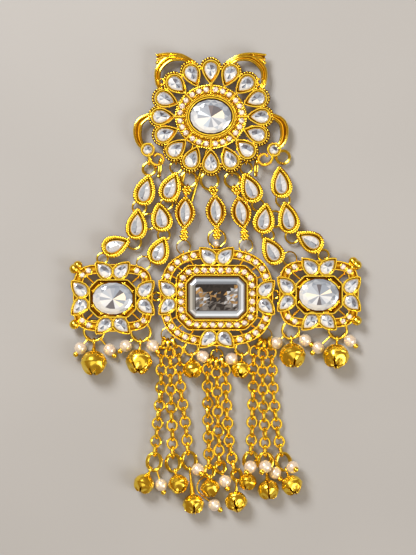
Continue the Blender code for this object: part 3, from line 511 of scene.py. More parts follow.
class Form:
    """Many closed surfaces gathered into one piece, with a polish value for each vertex, which also paints shade and
    glint on the gilding, and a foil tone with painted facet light for each face.
    """

    def __init__(self):
        self.verts, self.faces, self.polish, self.foil = [], [], [], []
        self.count = 0

    def add(self, surface, polish=1.0, foil=()):
        """Takes in a closed surface."""
        verts, faces = surface
        self.verts.append(verts)
        self.polish.append(np.broadcast_to(polish, len(verts)))
        self.faces += [face + self.count for face in outward(verts, faces)]
        self.foil += foil
        self.count += len(verts)
        return self

    def piece(self, name, finish, slot, node=None, crease=35.0):
        """Makes the mesh object, at the origin, riding on the brooch and in the place of the node, if any.

        Faces with a foil tone, which holds painted facet light, stay flat. The others are smooth up to the crease's
        angle."""
        verts = (np.vstack(self.verts) + ORIGIN) * MM
        sizes = np.concatenate([np.full(len(face), face.shape[1]) for face in self.faces])
        corners = np.concatenate([face.ravel() for face in self.faces])
        mesh = bpy.data.meshes.new(name)
        mesh.vertices.add(len(verts))
        mesh.vertices.foreach_set("co", verts.ravel())
        mesh.loops.add(len(corners))
        mesh.loops.foreach_set("vertex_index", corners.astype(np.int32))
        mesh.polygons.add(len(sizes))
        starts = np.concatenate(([0], np.cumsum(sizes)[:-1]))
        mesh.polygons.foreach_set("loop_start", starts.astype(np.int32))
        mesh.update(calc_edges=True)
        # Polish per vertex: it sets the gilding's roughness, and it also paints shade in low places and glint on high
        # ones
        polish = mesh.attributes.new("polish", "FLOAT", "POINT")
        polish.data.foreach_set("value", np.concatenate(self.polish).astype(np.float32))
        # Foil tone per face, holding the painted light and painted reflections of the facets
        if self.foil:
            tones = np.repeat(np.vstack(self.foil), sizes, axis=0)
            layer = mesh.attributes.new("foil", "FLOAT_COLOR", "CORNER")
            layer.data.foreach_set("color", np.column_stack((tones, np.ones(len(tones)))).ravel())
        mesh.shade_smooth()
        mesh.set_sharp_from_angle(angle=math.radians(1.0 if self.foil else crease))
        mesh.materials.append(finish)
        made = bpy.data.objects.new(name, mesh)
        bpy.context.scene.collection.objects.link(made)
        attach(made, "root")
        if node:
            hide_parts(node)


# Cut stones: flat facets, each with a foil tone holding painted light and painted reflections

def facet_rows(rings, heights, centre_height, centre):
    """Rings of points joined by triangles, closed by a point on top and a flat base.

    Point k of a ring meets points k and k + 1 of the ring inside it."""
    count = len(rings[0])
    verts = np.vstack([at_height(line, z) for line, z in zip(rings, heights)] + [[(*centre, centre_height)]])
    k = np.arange(count)
    after = (k + 1) % count
    last = count * (len(rings) - 1)
    rows = []
    for low in range(0, last, count):
        high = low + count
        rows.append(np.column_stack((low + k, low + after, high + k)))
        rows.append(np.column_stack((low + after, high + after, high + k)))
    rows.append(np.column_stack((last + k, last + after, np.full(count, len(verts) - 1))))
    return verts, [k[None, ::-1], np.vstack(rows)]


def facet_tones(surface, light, shades, seed):
    """Painted light for each facet, kept as its foil tone: the shades blended by how far the facet leans to the
    light, plus a scatter.
    """
    verts, faces = surface
    corner = verts[faces[1]]
    normal = unit(np.cross(corner[:, 1] - corner[:, 0], corner[:, 2] - corner[:, 0]))
    normal *= np.sign(normal[:, 2:] + 1e-9)
    lean = unit(normal[:, :2] + 1e-6) @ unit(np.array(light, dtype=float))
    scatter = np.random.default_rng(seed).normal(0, 0.22, len(lean))
    share = np.clip(0.5 + 0.5 * lean + scatter, 0, 1) * (len(shades) - 1)
    low = np.minimum(share.astype(int), len(shades) - 2)
    part = (share - low)[:, None]
    shades = np.array(shades)
    return [shades[-1:], shades[low] * (1 - part) + shades[low + 1] * part]


# Facet tones from shaded to lit: painted light and painted reflections of the stones
LIT_FACET_TONES = ((0.08, 0.08, 0.10), (0.27, 0.31, 0.37), (0.48, 0.53, 0.58), (0.68, 0.71, 0.74), (0.80, 0.80, 0.76))
GIRDLE = 0.5


def small_stone(form, outline, z, rise, seed):
    """A low kundan stone: girdle, pale rows of facets, and a fan with a dark streak towards the tip, all in painted
    light and painted reflections.
    """
    count = 12
    girdle = even(outline, count)
    middle = outline.mean(axis=0)
    inner = middle + (girdle - middle) * 0.72
    inner = (inner + np.roll(inner, -1, axis=0)) / 2
    surface = facet_rows((girdle, girdle, inner), (z - GIRDLE, z, z + rise * 0.6), z + rise, middle)
    tones = facet_tones(surface, (-0.4, -1.0), LIT_FACET_TONES, seed)
    # Outer rows pushed towards a pale tone; three fan facets take dark painted reflections
    tones[1][:-count] = 0.78 - (0.78 - tones[1][:-count]) * 0.6
    rng = np.random.default_rng(seed + 1000)
    tones[1][-1] = LIT_FACET_TONES[0]
    tones[1][-count if rng.uniform() > 0.5 else -2] = LIT_FACET_TONES[1]
    tones[1][-count // 2 + rng.integers(-1, 2)] = LIT_FACET_TONES[1]
    form.add(surface, foil=tones)


def ridge_stone(form, outline, way, z, rise, seed):
    """A long low stone with a ridge along its axis: painted shade makes one side grey and painted light the other
    white, under a thin pale edge.
    """
    count = 16
    girdle = even(outline, count)
    middle = outline.mean(axis=0)
    across = np.array((way[1], -way[0]))
    offset = girdle - middle
    ridge = middle + (offset @ way)[:, None] * way * 0.8 + (offset @ across)[:, None] * across * 0.06
    heights = (z - GIRDLE, z, z + rise * 0.4, z + rise * 0.95)
    surface = facet_rows((girdle, girdle, middle + offset * 0.84, ridge), heights, z + rise, middle)
    corners = surface[0][surface[1][1]].mean(axis=1)[:, :2] - middle
    side = (corners @ across)[:, None]
    # Painted shade on the side past the ridge, painted light on the other
    tone = np.where(side > 0, ((0.40, 0.45, 0.51),), ((0.76, 0.78, 0.80),))
    tone *= np.random.default_rng(seed).uniform(0.8, 1.08, (len(side), 1))
    edge = 4 * count
    tone[:edge] = (0.72, 0.73, 0.74)
    # A painted dark reflection along the ridge, on its half towards the tail
    streak = (np.abs(side[:, 0]) < 0.32) & (corners @ way > 0.2) & (np.arange(len(side)) >= edge)
    tone[streak] = (0.22, 0.22, 0.25)
    form.add(surface, foil=[np.full((1, 3), 0.8), np.clip(tone, 0, 1)])


def oval_stone(form, half, centre, z, rise, seed, dark):
    """A large oval: girdle, two rows of facets, and a wide flat fan with a few dark wedges; the facets carry painted
    light and the wedges painted reflections.
    """
    count = 16
    angle = [(np.arange(count) + twist) * 2 * math.pi / count + math.pi / count for twist in (0.0, 0.0, 0.5, 1.0)]
    rings = [rays(a) * (np.array(half) * share) + centre for a, share in zip(angle, (0.97, 1.0, 0.84, 0.66))]
    heights = (z - 2 * GIRDLE, z, z + rise * 0.5, z + rise * 0.75)
    surface = facet_rows(rings, heights, z + rise, np.array(centre) + (0.1, -0.2))
    tones = facet_tones(surface, (-0.6, -0.8), LIT_FACET_TONES[1:], seed)
    # Chosen wedges take painted reflection tones
    for wedge, tone in dark.items():
        tones[1][wedge - count] = tone
    form.add(surface, foil=tones)


# Materials

class Socket:
    """One output in a node tree, so that shader maths reads as an expression."""

    def __init__(self, tree, output):
        self.tree, self.output = tree, output

    def math(self, operation, *others):
        values = [other.output if isinstance(other, Socket) else other for other in others]
        return self.tree.node("ShaderNodeMath", {"operation": operation}, [self.output, *values])

    def __add__(self, other):
        return self.math("ADD", other)

    def __mul__(self, other):
        return self.math("MULTIPLY", other)

    def __sub__(self, other):
        return self.math("SUBTRACT", other)

    def __rsub__(self, other):
        return (self * -1.0) + other

    __radd__ = __add__

    def between(self, low, high, to_low=0.0, to_high=1.0):
        """Map a range smoothly onto another."""
        return self.tree.node("ShaderNodeMapRange", {"interpolation_type": "SMOOTHSTEP"},
                              {"Value": self, "From Min": low, "From Max": high, "To Min": to_low, "To Max": to_high})


class Finish:
    """A material with one Principled shader and the nodes that drive it."""

    def __init__(self, name):
        self.material = bpy.data.materials.new(name)
        self.material.use_nodes = True
        self.nodes = self.material.node_tree.nodes
        self.links = self.material.node_tree.links
        self.shader = self.nodes["Principled BSDF"]

    def node(self, kind, settings=None, inputs=(), output=0):
        made = self.nodes.new(kind)
        for key, value in (settings or {}).items():
            if key == "stops":
                ramp = made.color_ramp
                while len(ramp.elements) < len(value):
                    ramp.elements.new(0.5)
                for stop, (place, colour) in zip(ramp.elements, value):
                    stop.position = place
                    stop.color = (*colour, 1.0)
            else:
                setattr(made, key, value)
        pairs = inputs.items() if isinstance(inputs, dict) else enumerate(inputs)
        for key, value in pairs:
            value = value.output if isinstance(value, Socket) else value
            if isinstance(value, bpy.types.NodeSocket):
                self.links.new(value, made.inputs[key])
            else:
                made.inputs[key].default_value = value
        return Socket(self, made.outputs[output])

    def place(self):
        return self.node("ShaderNodeTexCoord", output="Object")

    def noise(self, scale, detail=3.0, roughness=0.55):
        return self.node("ShaderNodeTexNoise", None,
                         {"Vector": self.place(), "Scale": scale, "Detail": detail, "Roughness": roughness}, "Fac")

    def attribute(self, name, output="Fac"):
        return self.node("ShaderNodeAttribute", {"attribute_name": name}, output=output)

    def ramp(self, factor, stops):
        return self.node("ShaderNodeValToRGB", {"stops": stops}, {"Fac": factor}, "Color")

    def blend(self, factor, first, second, kind="MIX"):
        return self.node("ShaderNodeMix", {"data_type": "RGBA", "blend_type": kind},
                         {0: factor, 6: first, 7: second}, 2)

    def bump(self, height, strength, distance):
        return self.node("ShaderNodeBump", None,
                         {"Height": height, "Strength": strength, "Distance": distance}, "Normal")

    def set(self, **values):
        """Sockets by name, with underscores for spaces: a value sets one, an expression is linked."""
        for key, value in values.items():
            socket = self.shader.inputs[key.replace("_", " ")]
            if isinstance(value, Socket):
                self.links.new(value.output, socket)
            else:
                socket.default_value = value
        return self.material


def gold_finish(name, look, dents=0.12, satin=0.0):
    """Bright yellow gilding: painted glint on the high places, painted shade on the settings' walls, orange-brown
    patina darkened with painted shade in the recesses, faint casting grain.
    """
    finish = Finish(name)
    polish = finish.attribute("polish")
    mottle = finish.noise(420.0)
    polish_light_and_mottle = polish + (mottle - 0.5) * 0.35
    # Colour from the polish value: recess patina with painted shade, then painted shade, gold, and painted glint
    tone = finish.ramp(polish_light_and_mottle, ((0.0, look.recess_patina_and_shade_colour), (0.35, look.painted_shade_colour),
                              (0.75, look.gold_colour), (1.0, look.painted_glint_colour)))
    fine = finish.noise(2600.0, 2.0)
    rough = look.roughness + satin + (1 - polish_light_and_mottle.between(0.1, 0.8)) * 0.22 + (mottle - 0.5) * 0.12
    grain = finish.bump(mottle * 0.6 + fine * 0.4, dents, 0.00035)
    return finish.set(Base_Color=tone, Roughness=rough, Metallic=1.0, Normal=grain)


def stone_finish(name, look, shine=0.04, clear=0.8):
    """Foil-backed crystal: the facet's foil tone, which carries painted light and painted reflections, under a hard
    clear surface, with a faint inner cloud.
    """
    finish = Finish(name)
    foil = finish.attribute("foil", "Color")
    cloud = finish.noise(600.0, 2.0).between(0.35, 0.75)
    tone = finish.blend(cloud * 0.3, foil, (*look.crystal_colour, 1.0), "MULTIPLY")
    return finish.set(Base_Color=tone, Roughness=shine + cloud * 0.05, Metallic=0.1, IOR=1.55,
                      Specular_IOR_Level=clear * 0.62, Coat_Weight=clear, Coat_Roughness=0.02, Coat_IOR=1.6)


def pearl_finish(name, look):
    """Cream lustre with a pink cloud, under a clear skin."""
    finish = Finish(name)
    cloud = finish.noise(260.0, 2.0).between(0.35, 0.7)
    tone = finish.blend(cloud, (*look.pearl_colour, 1.0), (*look.pearl_blush, 1.0))
    return finish.set(Base_Color=tone, Roughness=0.22 + cloud * 0.08, Metallic=0.35, Coat_Weight=1.0,
                      Coat_Roughness=0.1, Specular_IOR_Level=0.8)


# Findings shared by the pieces

def solder_eye(form, centre, radius, holder):
    """The small upright loop round a jump ring's wire, and the neck that joins it to its holder."""
    place = toward(centre, holder, radius)
    along = unit(np.array(holder, dtype=float) - np.array(centre))
    across = (-along[1], along[0], 0)
    form.add(ring((*place, RING_Z), EYE_RADIUS, EYE_WIRE, axis=across, around=20, sides=8), 0.8)
    start = np.array((*(place + along * EYE_RADIUS * 0.5), RING_Z + EYE_RADIUS * 0.8))
    end = np.array((*holder, NECK_Z))
    if np.linalg.norm(end - start) > 0.2:
        form.add(rod(start, end, EYE_WIRE * 1.2, up=across), 0.7)


def soldered_ring(form, centre, radius, holder, thickness=0.22):
    """A jump ring fixed to its setting by a drop of solder."""
    form.add(ring((*centre, RING_Z), radius, thickness, around=48), 0.95)
    place = toward(centre, holder, radius)
    form.add(rod((*place, RING_Z), (*place, NECK_Z), 0.42, 3, up=(0, 1, 0)), 0.5)


def rim_wire(form, outline, distance, z, radius=0.24):
    """A round wire laid along an outline, the distance inside it."""
    form.add(wire(at_height(inset(outline, distance), z), radius, closed=True))


def moulding(form, outline, rows, closed=False):
    """A profile carried round an outline, in rows of inset, height over the settings' plane, and polish, whose low
    values paint shade and high ones paint glint.
    """
    rows = np.array(rows)
    form.add(carried(outline, rows[:, :2] + (0, SETTING_Z), closed), np.repeat(rows[:, 2], len(outline)))


def cup(form, outline, seat, height=1.75, rim=0.4):
    """A stone's bezel: wall, half-round rim, slope down to the seat darkened with painted shade, and a thin lip round
    the stone.
    """
    z, top = SETTING_Z, SETTING_Z + height
    edge = inset(outline, rim)
    mean = seat.mean(axis=0)
    lip = seat - mean
    slope = mean + lip * 1.1 - edge
    wall = ((0.25, z), (0.05, z + height * 0.5), (0.0, top - 0.3), (rim * 0.12, top - 0.08), (rim * 0.5, top),
            (rim * 0.9, top - 0.1))
    levels = [(inset(outline, distance), level) for distance, level in wall]
    levels += [(edge + slope * share, top - drop) for share, drop in ((0.25, 0.42), (0.7, 0.5))]
    levels += [(mean + lip * share, top - drop) for share, drop in ((1.1, 0.34), (1.03, 0.34), (0.97, 0.7))]
    # Low polish paints shade at the wall's foot and on the slope; high polish paints glint on the rim
    form.add(loft(levels), np.repeat((0.25, 0.4, 0.8, 1.0, 1.0, 0.9, 0.12, 0.1, 0.75, 0.6, 0.1), len(outline)))


def chatons(gold, stones, places, z, size=CHATON, seed=0):
    """Small round stones, each sunk in a thin bright collar."""
    places = np.asarray(places, dtype=float)
    table = turned(oval((0.55, 0.55), 8), (0, 0), math.pi / 8)
    gem = facet_rows((oval((0.9, 0.9), 8), oval((0.92, 0.92), 8), table), (-0.5, 0.0, 0.34), 0.42, (0, 0))
    rng = np.random.default_rng(seed)
    spins = rng.uniform(0, math.pi, len(places))
    frames = np.zeros((len(places), 3, 3))
    frames[:, 0, 0] = frames[:, 1, 1] = np.cos(spins)
    frames[:, 0, 1], frames[:, 1, 0] = np.sin(spins), -np.sin(spins)
    frames[:, 2, 2] = 1
    centres = at_height(places, z)
    shape = copies(gem, centres, frames, size)
    blush = np.array((0.90, 0.77, 0.70))
    # Random facet brightness over the pink: painted reflections
    shade = rng.choice((0.4, 0.85, 1.0, 1.1, 1.1), (len(shape[1][1]), 1))
    stones.add(shape, foil=[np.tile(blush, (len(places), 1)), np.minimum(blush * shade, 1)])
    collar = ring((0, 0, 0), 1.06, 0.17, around=16, sides=6)
    gold.add(copies(collar, centres + (0, 0, 0.1), sizes=size), 0.95)


def prong_grains(gold, path, z):
    """Grains on a line, each between two round stones."""
    gold.add(balls(at_height(path, z), 0.33, 7, 5))


# Rosette

def on_side(side, points):
    """Places given from the rosette's middle: side 1 keeps them on their side, side -1 mirrors them."""
    return ROSETTE_CENTRE + np.array(points) * (side, 1)


def ornament(form, path, side, half_width, z, rib):
    """A horn or crescent: a floor darkened with patina and painted shade between two raised wires that meet at the
    ends.
    """
    flat = curve_through(on_side(side, path), 40)
    width = np.interp(np.linspace(0, 1, len(flat)), np.linspace(0, 1, len(half_width)), half_width)
    section = ((-0.9, -0.5), (-1.0, 0.0), (-0.5, 0.12), (0.5, 0.12), (1.0, 0.0), (0.9, -0.5))
    form.add(strap(at_height(flat, z), width, section), np.tile((0.3, 0.3, 0.1, 0.1, 0.3, 0.3), len(flat)))
    across = right_of(flat)
    for edge in (-1, 1):
        line = flat + edge * width[:, None] * across
        form.add(rounded_wire(at_height(line, z + 0.12), rib * (0.75 + 0.35 * width / width.max()), 10))
    ridge = flat - side * 0.35 * width[:, None] * across
    form.add(rounded_wire(at_height(ridge, z + 0.1)[3:-3], rib * 0.45), 0.75)


def pear_place(index):
    """Centre and turn of one of the rosette's pears, its tip towards the middle."""
    angle = 2 * math.pi * index / ROSETTE_PEARS
    out = np.array((math.sin(angle), math.cos(angle)))
    place = ROSETTE_CENTRE + out * (np.array(ROSETTE_CORE) + ROSETTE_PEAR_REACH)
    inward = unit(ROSETTE_CENTRE - place)
    return place, inward, math.atan2(-inward[0], inward[1])


class HAIRBROOCH_OT_rosette(bpy.types.Operator):
    """Rosette: sixteen beaded pear settings round a ring of small stones and an oval"""
    bl_idname = "hair_brooch.rosette"
    bl_label = "Rosette"

    def execute(self, context):
        look = context.scene.hair_brooch
        gold, stones, small = Form(), Form(), Form()
        z = SETTING_Z
        core, bezel = oval(ROSETTE_CORE, 96, ROSETTE_CENTRE), oval(ROSETTE_BEZEL, 96, ROSETTE_CENTRE)
        shoulder = inset(core, 0.2)
        gold.add(loft(((inset(core, 0.3), z), (core, z + 0.3), (core, z + 0.85), (shoulder, z + 1.0))), 0.3)
        gold.add(rope(at_height(shoulder, z + 1.2), 0.34, 0.8), 0.95)
        gold.add(grains(at_height(inset(core, 0.95), z + 1.1), 0.2, 0.62), 0.8)
        gold.add(grains(at_height(inset(bezel, -0.72), z + 1.1), 0.18, 0.6), 0.7)
        gold.add(grains(at_height(inset(bezel, -0.24), z + 1.9), 0.22, 0.46), 0.95)
        # Low polish rows paint shade in the grooves, high ones paint glint on the ridges
        moulding(gold, bezel, ((0.0, 0.9, 0.2), (0.0, 1.7, 0.5), (0.2, 1.9, 0.8), (0.38, 1.6, 0.3), (0.5, 1.2, 0.0),
                               (0.64, 1.6, 0.3), (0.8, 1.9, 0.8), (0.96, 1.5, 0.2), (1.04, 1.1, 0.0),
                               (1.28, 1.1, 0.0), (1.45, 1.1, 0.0)))
        for line, distance, height, radius in ((bezel, 0.16, 1.95, 0.24), (bezel, 0.82, 1.95, 0.22),
                                               (core, 0.2, 1.0, 0.3)):
            rim_wire(gold, line, distance, z + height, radius)
        step = 2 * math.pi / ROSETTE_BARS
        bars = np.arange(ROSETTE_BARS) * 2 * math.pi / ROSETTE_BARS
        for bar in bars:
            out = np.array((math.cos(bar), math.sin(bar)))
            start = ROSETTE_CENTRE + out * (np.array(ROSETTE_BEZEL) + 0.45)
            end = ROSETTE_CENTRE + out * (np.array(ROSETTE_CORE) + 0.55)
            gold.add(rod((*start, z + 1.5), (*end, z + 1.6), (0.36, 0.42, 0.34, 0.46, 0.34, 0.44, 0.38), 7))
        spread = (bars[:, None] + step / 2 + np.array((-0.31, 0.0, 0.31)) * step).ravel()
        chatons(gold, small, ROSETTE_CENTRE + rays(spread) * ROSETTE_CHATONS, z + 1.25, seed=1)
        spread = (bars[:, None] + step / 2 + np.array((-0.155, 0.155)) * step).ravel()
        for reach in (-0.72, 0.72):
            prong_grains(gold, ROSETTE_CENTRE + rays(spread) * (np.array(ROSETTE_CHATONS) + reach), z + 1.3)
        for index in range(ROSETTE_PEARS):
            place, inward, turn = pear_place(index)
            outline = turned(pear(*ROSETTE_PEAR), place, turn)
            seat = turned(pear(*ROSETTE_PEAR_STONE), place - inward * 0.42, turn)
            cup(gold, outline, seat)
            small_stone(stones, seat, z + 1.35, 0.62, 100 + index)
            bulb = place - inward * ROSETTE_PEAR[1] / 6
            sweep = np.radians(np.linspace(-98, 98, 40)) + math.atan2(-inward[1], -inward[0])
            arc = bulb + SCALLOP_RADIUS * rays(sweep)
            # Low polish paints shade on the wire under the row of grains, so that the grains stand out
            gold.add(rounded_wire(at_height(arc, z + 0.95), 0.42), 0.15)
            gold.add(grains(at_height(arc, z + 1.38), 0.4, 0.86, closed=False))
            rim_wire(gold, outline, 0.24, z + 1.7, 0.27)
        for side in (1, -1):
            ornament(gold, HORN_PATH, side, (0.35, 0.6, 0.72, 0.72, 0.6, 0.35), z + 1.0, 0.42)
            ornament(gold, LEAF_PATH, side, (0.2, 0.4, 0.5, 0.66), z + 1.2, 0.34)
            ornament(gold, CRESCENT_PATH, side, (0.3, 0.8, 1.0, 0.8, 0.35), z + 0.95, 0.42)
            for path, thickness, height in ((BARB_PATH, 0.42, 1.0), (CURL_PATH, 0.4, 1.1), (HOOK_PATH, 0.5, 1.05)):
                flat = curve_through(on_side(side, path), 24)
                gold.add(rounded_wire(at_height(flat, z + height), thickness), 0.95)
            gold.add(balls([(*on_side(side, BARB_PATH[-1]), z + 1.05)], 0.75, 16, 10))
            spot = on_side(side, ROUND_OFFSET)
            outline = oval((ROUND_SETTING, ROUND_SETTING), 40, spot)
            seat = oval((ROUND_SETTING - 0.85, ROUND_SETTING - 0.85), 40, spot)
            cup(gold, outline, seat, rim=0.5)
            rim_wire(gold, outline, 0.3, z + 1.68, 0.33)
            small_stone(stones, seat, z + 1.35, 0.55, 130 + side)
        for centre, radius, holder in CHAIN_HEADS.values():
            solder_eye(gold, centre, radius, holder)
        for drop in MARQUISES:
            centre, radius = drop[1:3]
            behind = (ROSETTE_CENTRE[0] + 0.75 * (centre[0] - ROSETTE_CENTRE[0]), ROSETTE_CENTRE[1])
            solder_eye(gold, centre, radius, toward(centre, behind, radius + 3.4))
        gold.piece("rosette_gold", gold_finish("rosette_gilding", look), "gold", "rosette_frame")
        stones.piece("rosette_pear_stones", stone_finish("rosette_crystal", look), "crystal")
        small.piece("rosette_chatons", stone_finish("rosette_blush_crystal", look), "crystal")
        return {"FINISHED"}


# Medallions

def pear_outlines(centre, half, size, shift=0.0):
    """Eight pears in pairs on the four sides, their tips leaning apart and shifted that way."""
    outlines = []
    step = PEAR_SPACING / 2
    for sx, sy in CORNERS:
        for offset in ((sx * step, sy * half[1]), (sx * half[0], sy * step)):
            place = np.array(centre) + offset + shift * unit(np.array((sx, sy), dtype=float))
            outlines.append(turned(pear(*size, 48, BAND_PEAR_FULLNESS), place, math.atan2(-sx, sy)))
    return outlines


def outer_band(gold, stones, centre, half, power, pears, seed):
    """The medallion's band: two raised edges with a floor between them darkened with patina and painted shade, and
    eight pear settings.
    """
    z, w = SETTING_Z, BAND_WIDTH
    outline = soft_box((half[0] + w / 2, half[1] + w / 2), power) + np.array(centre)
    moulding(gold, outline, ((0.1, 0.1, 0.3), (0.0, 0.8, 0.7), (0.05, 1.1, 0.9), (0.4, 1.1, 0.8), (0.48, 0.7, 0.1),
                             (w / 2, 0.85, 0.6), (w - 0.48, 0.7, 0.1), (w - 0.4, 1.1, 0.8), (w - 0.05, 1.1, 0.9),
                             (w, 0.8, 0.7), (w - 0.1, 0.1, 0.3)), closed=True)
    rim_wire(gold, outline, 0.24, z + 1.12, 0.27)
    rim_wire(gold, outline, w - 0.24, z + 1.12, 0.27)
    seats = pear_outlines(centre, pears, BAND_PEAR_STONE, -0.25)
    for index, outline in enumerate(pear_outlines(centre, pears, BAND_PEAR)):
        cup(gold, outline, seats[index], height=1.85, rim=0.56)
        rim_wire(gold, outline, 0.24, z + 1.78, 0.25)
        small_stone(stones, seats[index], z + 1.48, 0.55, seed + index)


def link_ends(side):
    """Last rings of the link chains on a side, with the place on the medallion that holds each."""
    sign = -1 if side == "left" else 1
    centre = MEDALLIONS[side]
    for name, tip, tail, last, radius in PEAR_LINKS:
        if name.endswith(side + "_3"):
            across = -sign * SIDE_BAND[0] * 0.78 if "inner" in name else sign * PEAR_SPACING / 2
            yield last, radius, (centre[0] + across, centre[1] + SIDE_BAND[1] * 0.92)


def joint_spot(side, sign):
    """Middle of the ring that joins a side medallion to the centre one."""
    return MEDALLIONS[side][0] - sign * SIDE_JOINT, MEDALLIONS[side][1] * 0.5


class HAIRBROOCH_OT_side_medallions(bpy.types.Operator):
    """Side medallions: an oval stone in an eight-sided bezel, ringed by pear stones"""
    bl_idname = "hair_brooch.side_medallions"
    bl_label = "Side Medallions"

    def execute(self, context):
        look = context.scene.hair_brooch
        z = SETTING_Z
        for side, sign in SIDES:
            gold, stones, small = Form(), Form(), Form()
            home = np.array(MEDALLIONS[side])
            centre = home + SIDE_SHIFT
            bezel = cut_box(SIDE_BEZEL, SIDE_BEZEL_CHAMFER) + centre + (0.0, SIDE_DROP)
            # Low polish rows paint shade on the bezel's floor, high ones paint glint on its rim
            moulding(gold, bezel, ((0.15, 0.0, 0.2), (0.05, 1.0, 0.5), (0.0, 2.0, 0.9), (0.08, 2.3, 1.0),
                                   (0.24, 2.4, 1.0), (0.4, 2.28, 1.0), (0.48, 2.0, 0.5), (0.6, 1.5, 0.05),
                                   (1.0, 1.35, 0.1)))
            rim_wire(gold, bezel, 0.24, z + 2.3, 0.26)
            for lift in (1, -1):
                edge = centre[1] + SIDE_DROP + lift * (SIDE_BEZEL[1] - 0.1)
                row = np.column_stack((centre[0] + np.linspace(-4.4, 4.4, 15), np.full(15, edge)))
                gold.add(balls(at_height(row, z + 2.15), 0.27, 8, 6))
            for corner in CORNERS:
                claw = rays(np.radians(np.linspace(22, 62, 12))) * corner * (np.array(SIDE_STONE) + 0.4)
                gold.add(rounded_wire(at_height(claw + centre + (0.0, SIDE_DROP), z + 1.75), 0.34), 0.95)
                ends = claw[[1, -2]] * 1.07 + centre + (0.0, SIDE_DROP)
                gold.add(balls(at_height(ends, z + 1.8), 0.38, 10, 7))
            outer_band(gold, stones, centre, SIDE_BAND, SIDE_BAND_POWER, SIDE_PEARS, 200 + 20 * sign)
            places = [centre + np.array(corner) * spot for corner in CORNERS for spot in SIDE_CHATONS]
            chatons(gold, small, places, z + 1.15, seed=3 + sign)
            first, second = np.array(SIDE_CHATONS)
            for corner in CORNERS:
                mid = centre + corner * (first + second) / 2
                along = unit(corner * (second - first))
                side_way = np.array((-along[1], along[0]))
                spots = [mid + side_way * 0.62, mid - side_way * 0.62, mid + along * 2.1, mid - along * 2.1]
                prong_grains(gold, spots, z + 1.15)
                start, end = (centre + np.array(corner) * spot for spot in ((6.3, 5.0), (8.2, 6.7)))
                gold.add(rod((*start, z + 1.0), (*end, z + 1.0), 0.35), 0.6)
            for lift in (1, -1):
                knob = np.array((home[0] + sign * KNOB_SPOT[0], home[1] + lift * KNOB_SPOT[1], z + 1.1))
                root = np.array((centre[0] + sign * (SIDE_BAND[0] - 1.2), centre[1] + lift * (SIDE_BAND[1] - 1.4),
                                 z + 0.9))
                gold.add(rod(root, knob, 0.5, 5), 0.9)
                gold.add(balls([knob], KNOB, 32, 20))
                gold.add(ring(toward(knob, root, KNOB * 0.95), 0.62, 0.22, axis=knob - root, around=20, sides=8))
            gold.add(balls([(home[0] + sign * 11.1, home[1] + 10.0, z + 0.4)], 1.5, 28, 18), 0.9)
            for name, spot, radius, holder, pearls in BELL_RINGS:
                if holder[0] == side:
                    solder_eye(gold, spot, radius, (home[0] + holder[1] * CORNER_EYE[0], home[1] + CORNER_EYE[1]))
            for spot, radius, holder in link_ends(side):
                solder_eye(gold, spot, radius, holder)
            joint = joint_spot(side, sign)
            soldered_ring(gold, joint, SIDE_JOINT_RING, (home[0] - sign * SIDE_BAND[0], joint[1]), 0.34)
            name = side + "_medallion_"
            gold.piece(name + "gold", gold_finish(name + "gilding", look), "gold", side + "_frame")
            stones.piece(name + "pear_stones", stone_finish(side + "_crystal", look), "crystal")
            small.piece(name + "chatons", stone_finish(side + "_blush_crystal", look), "crystal")
        return {"FINISHED"}


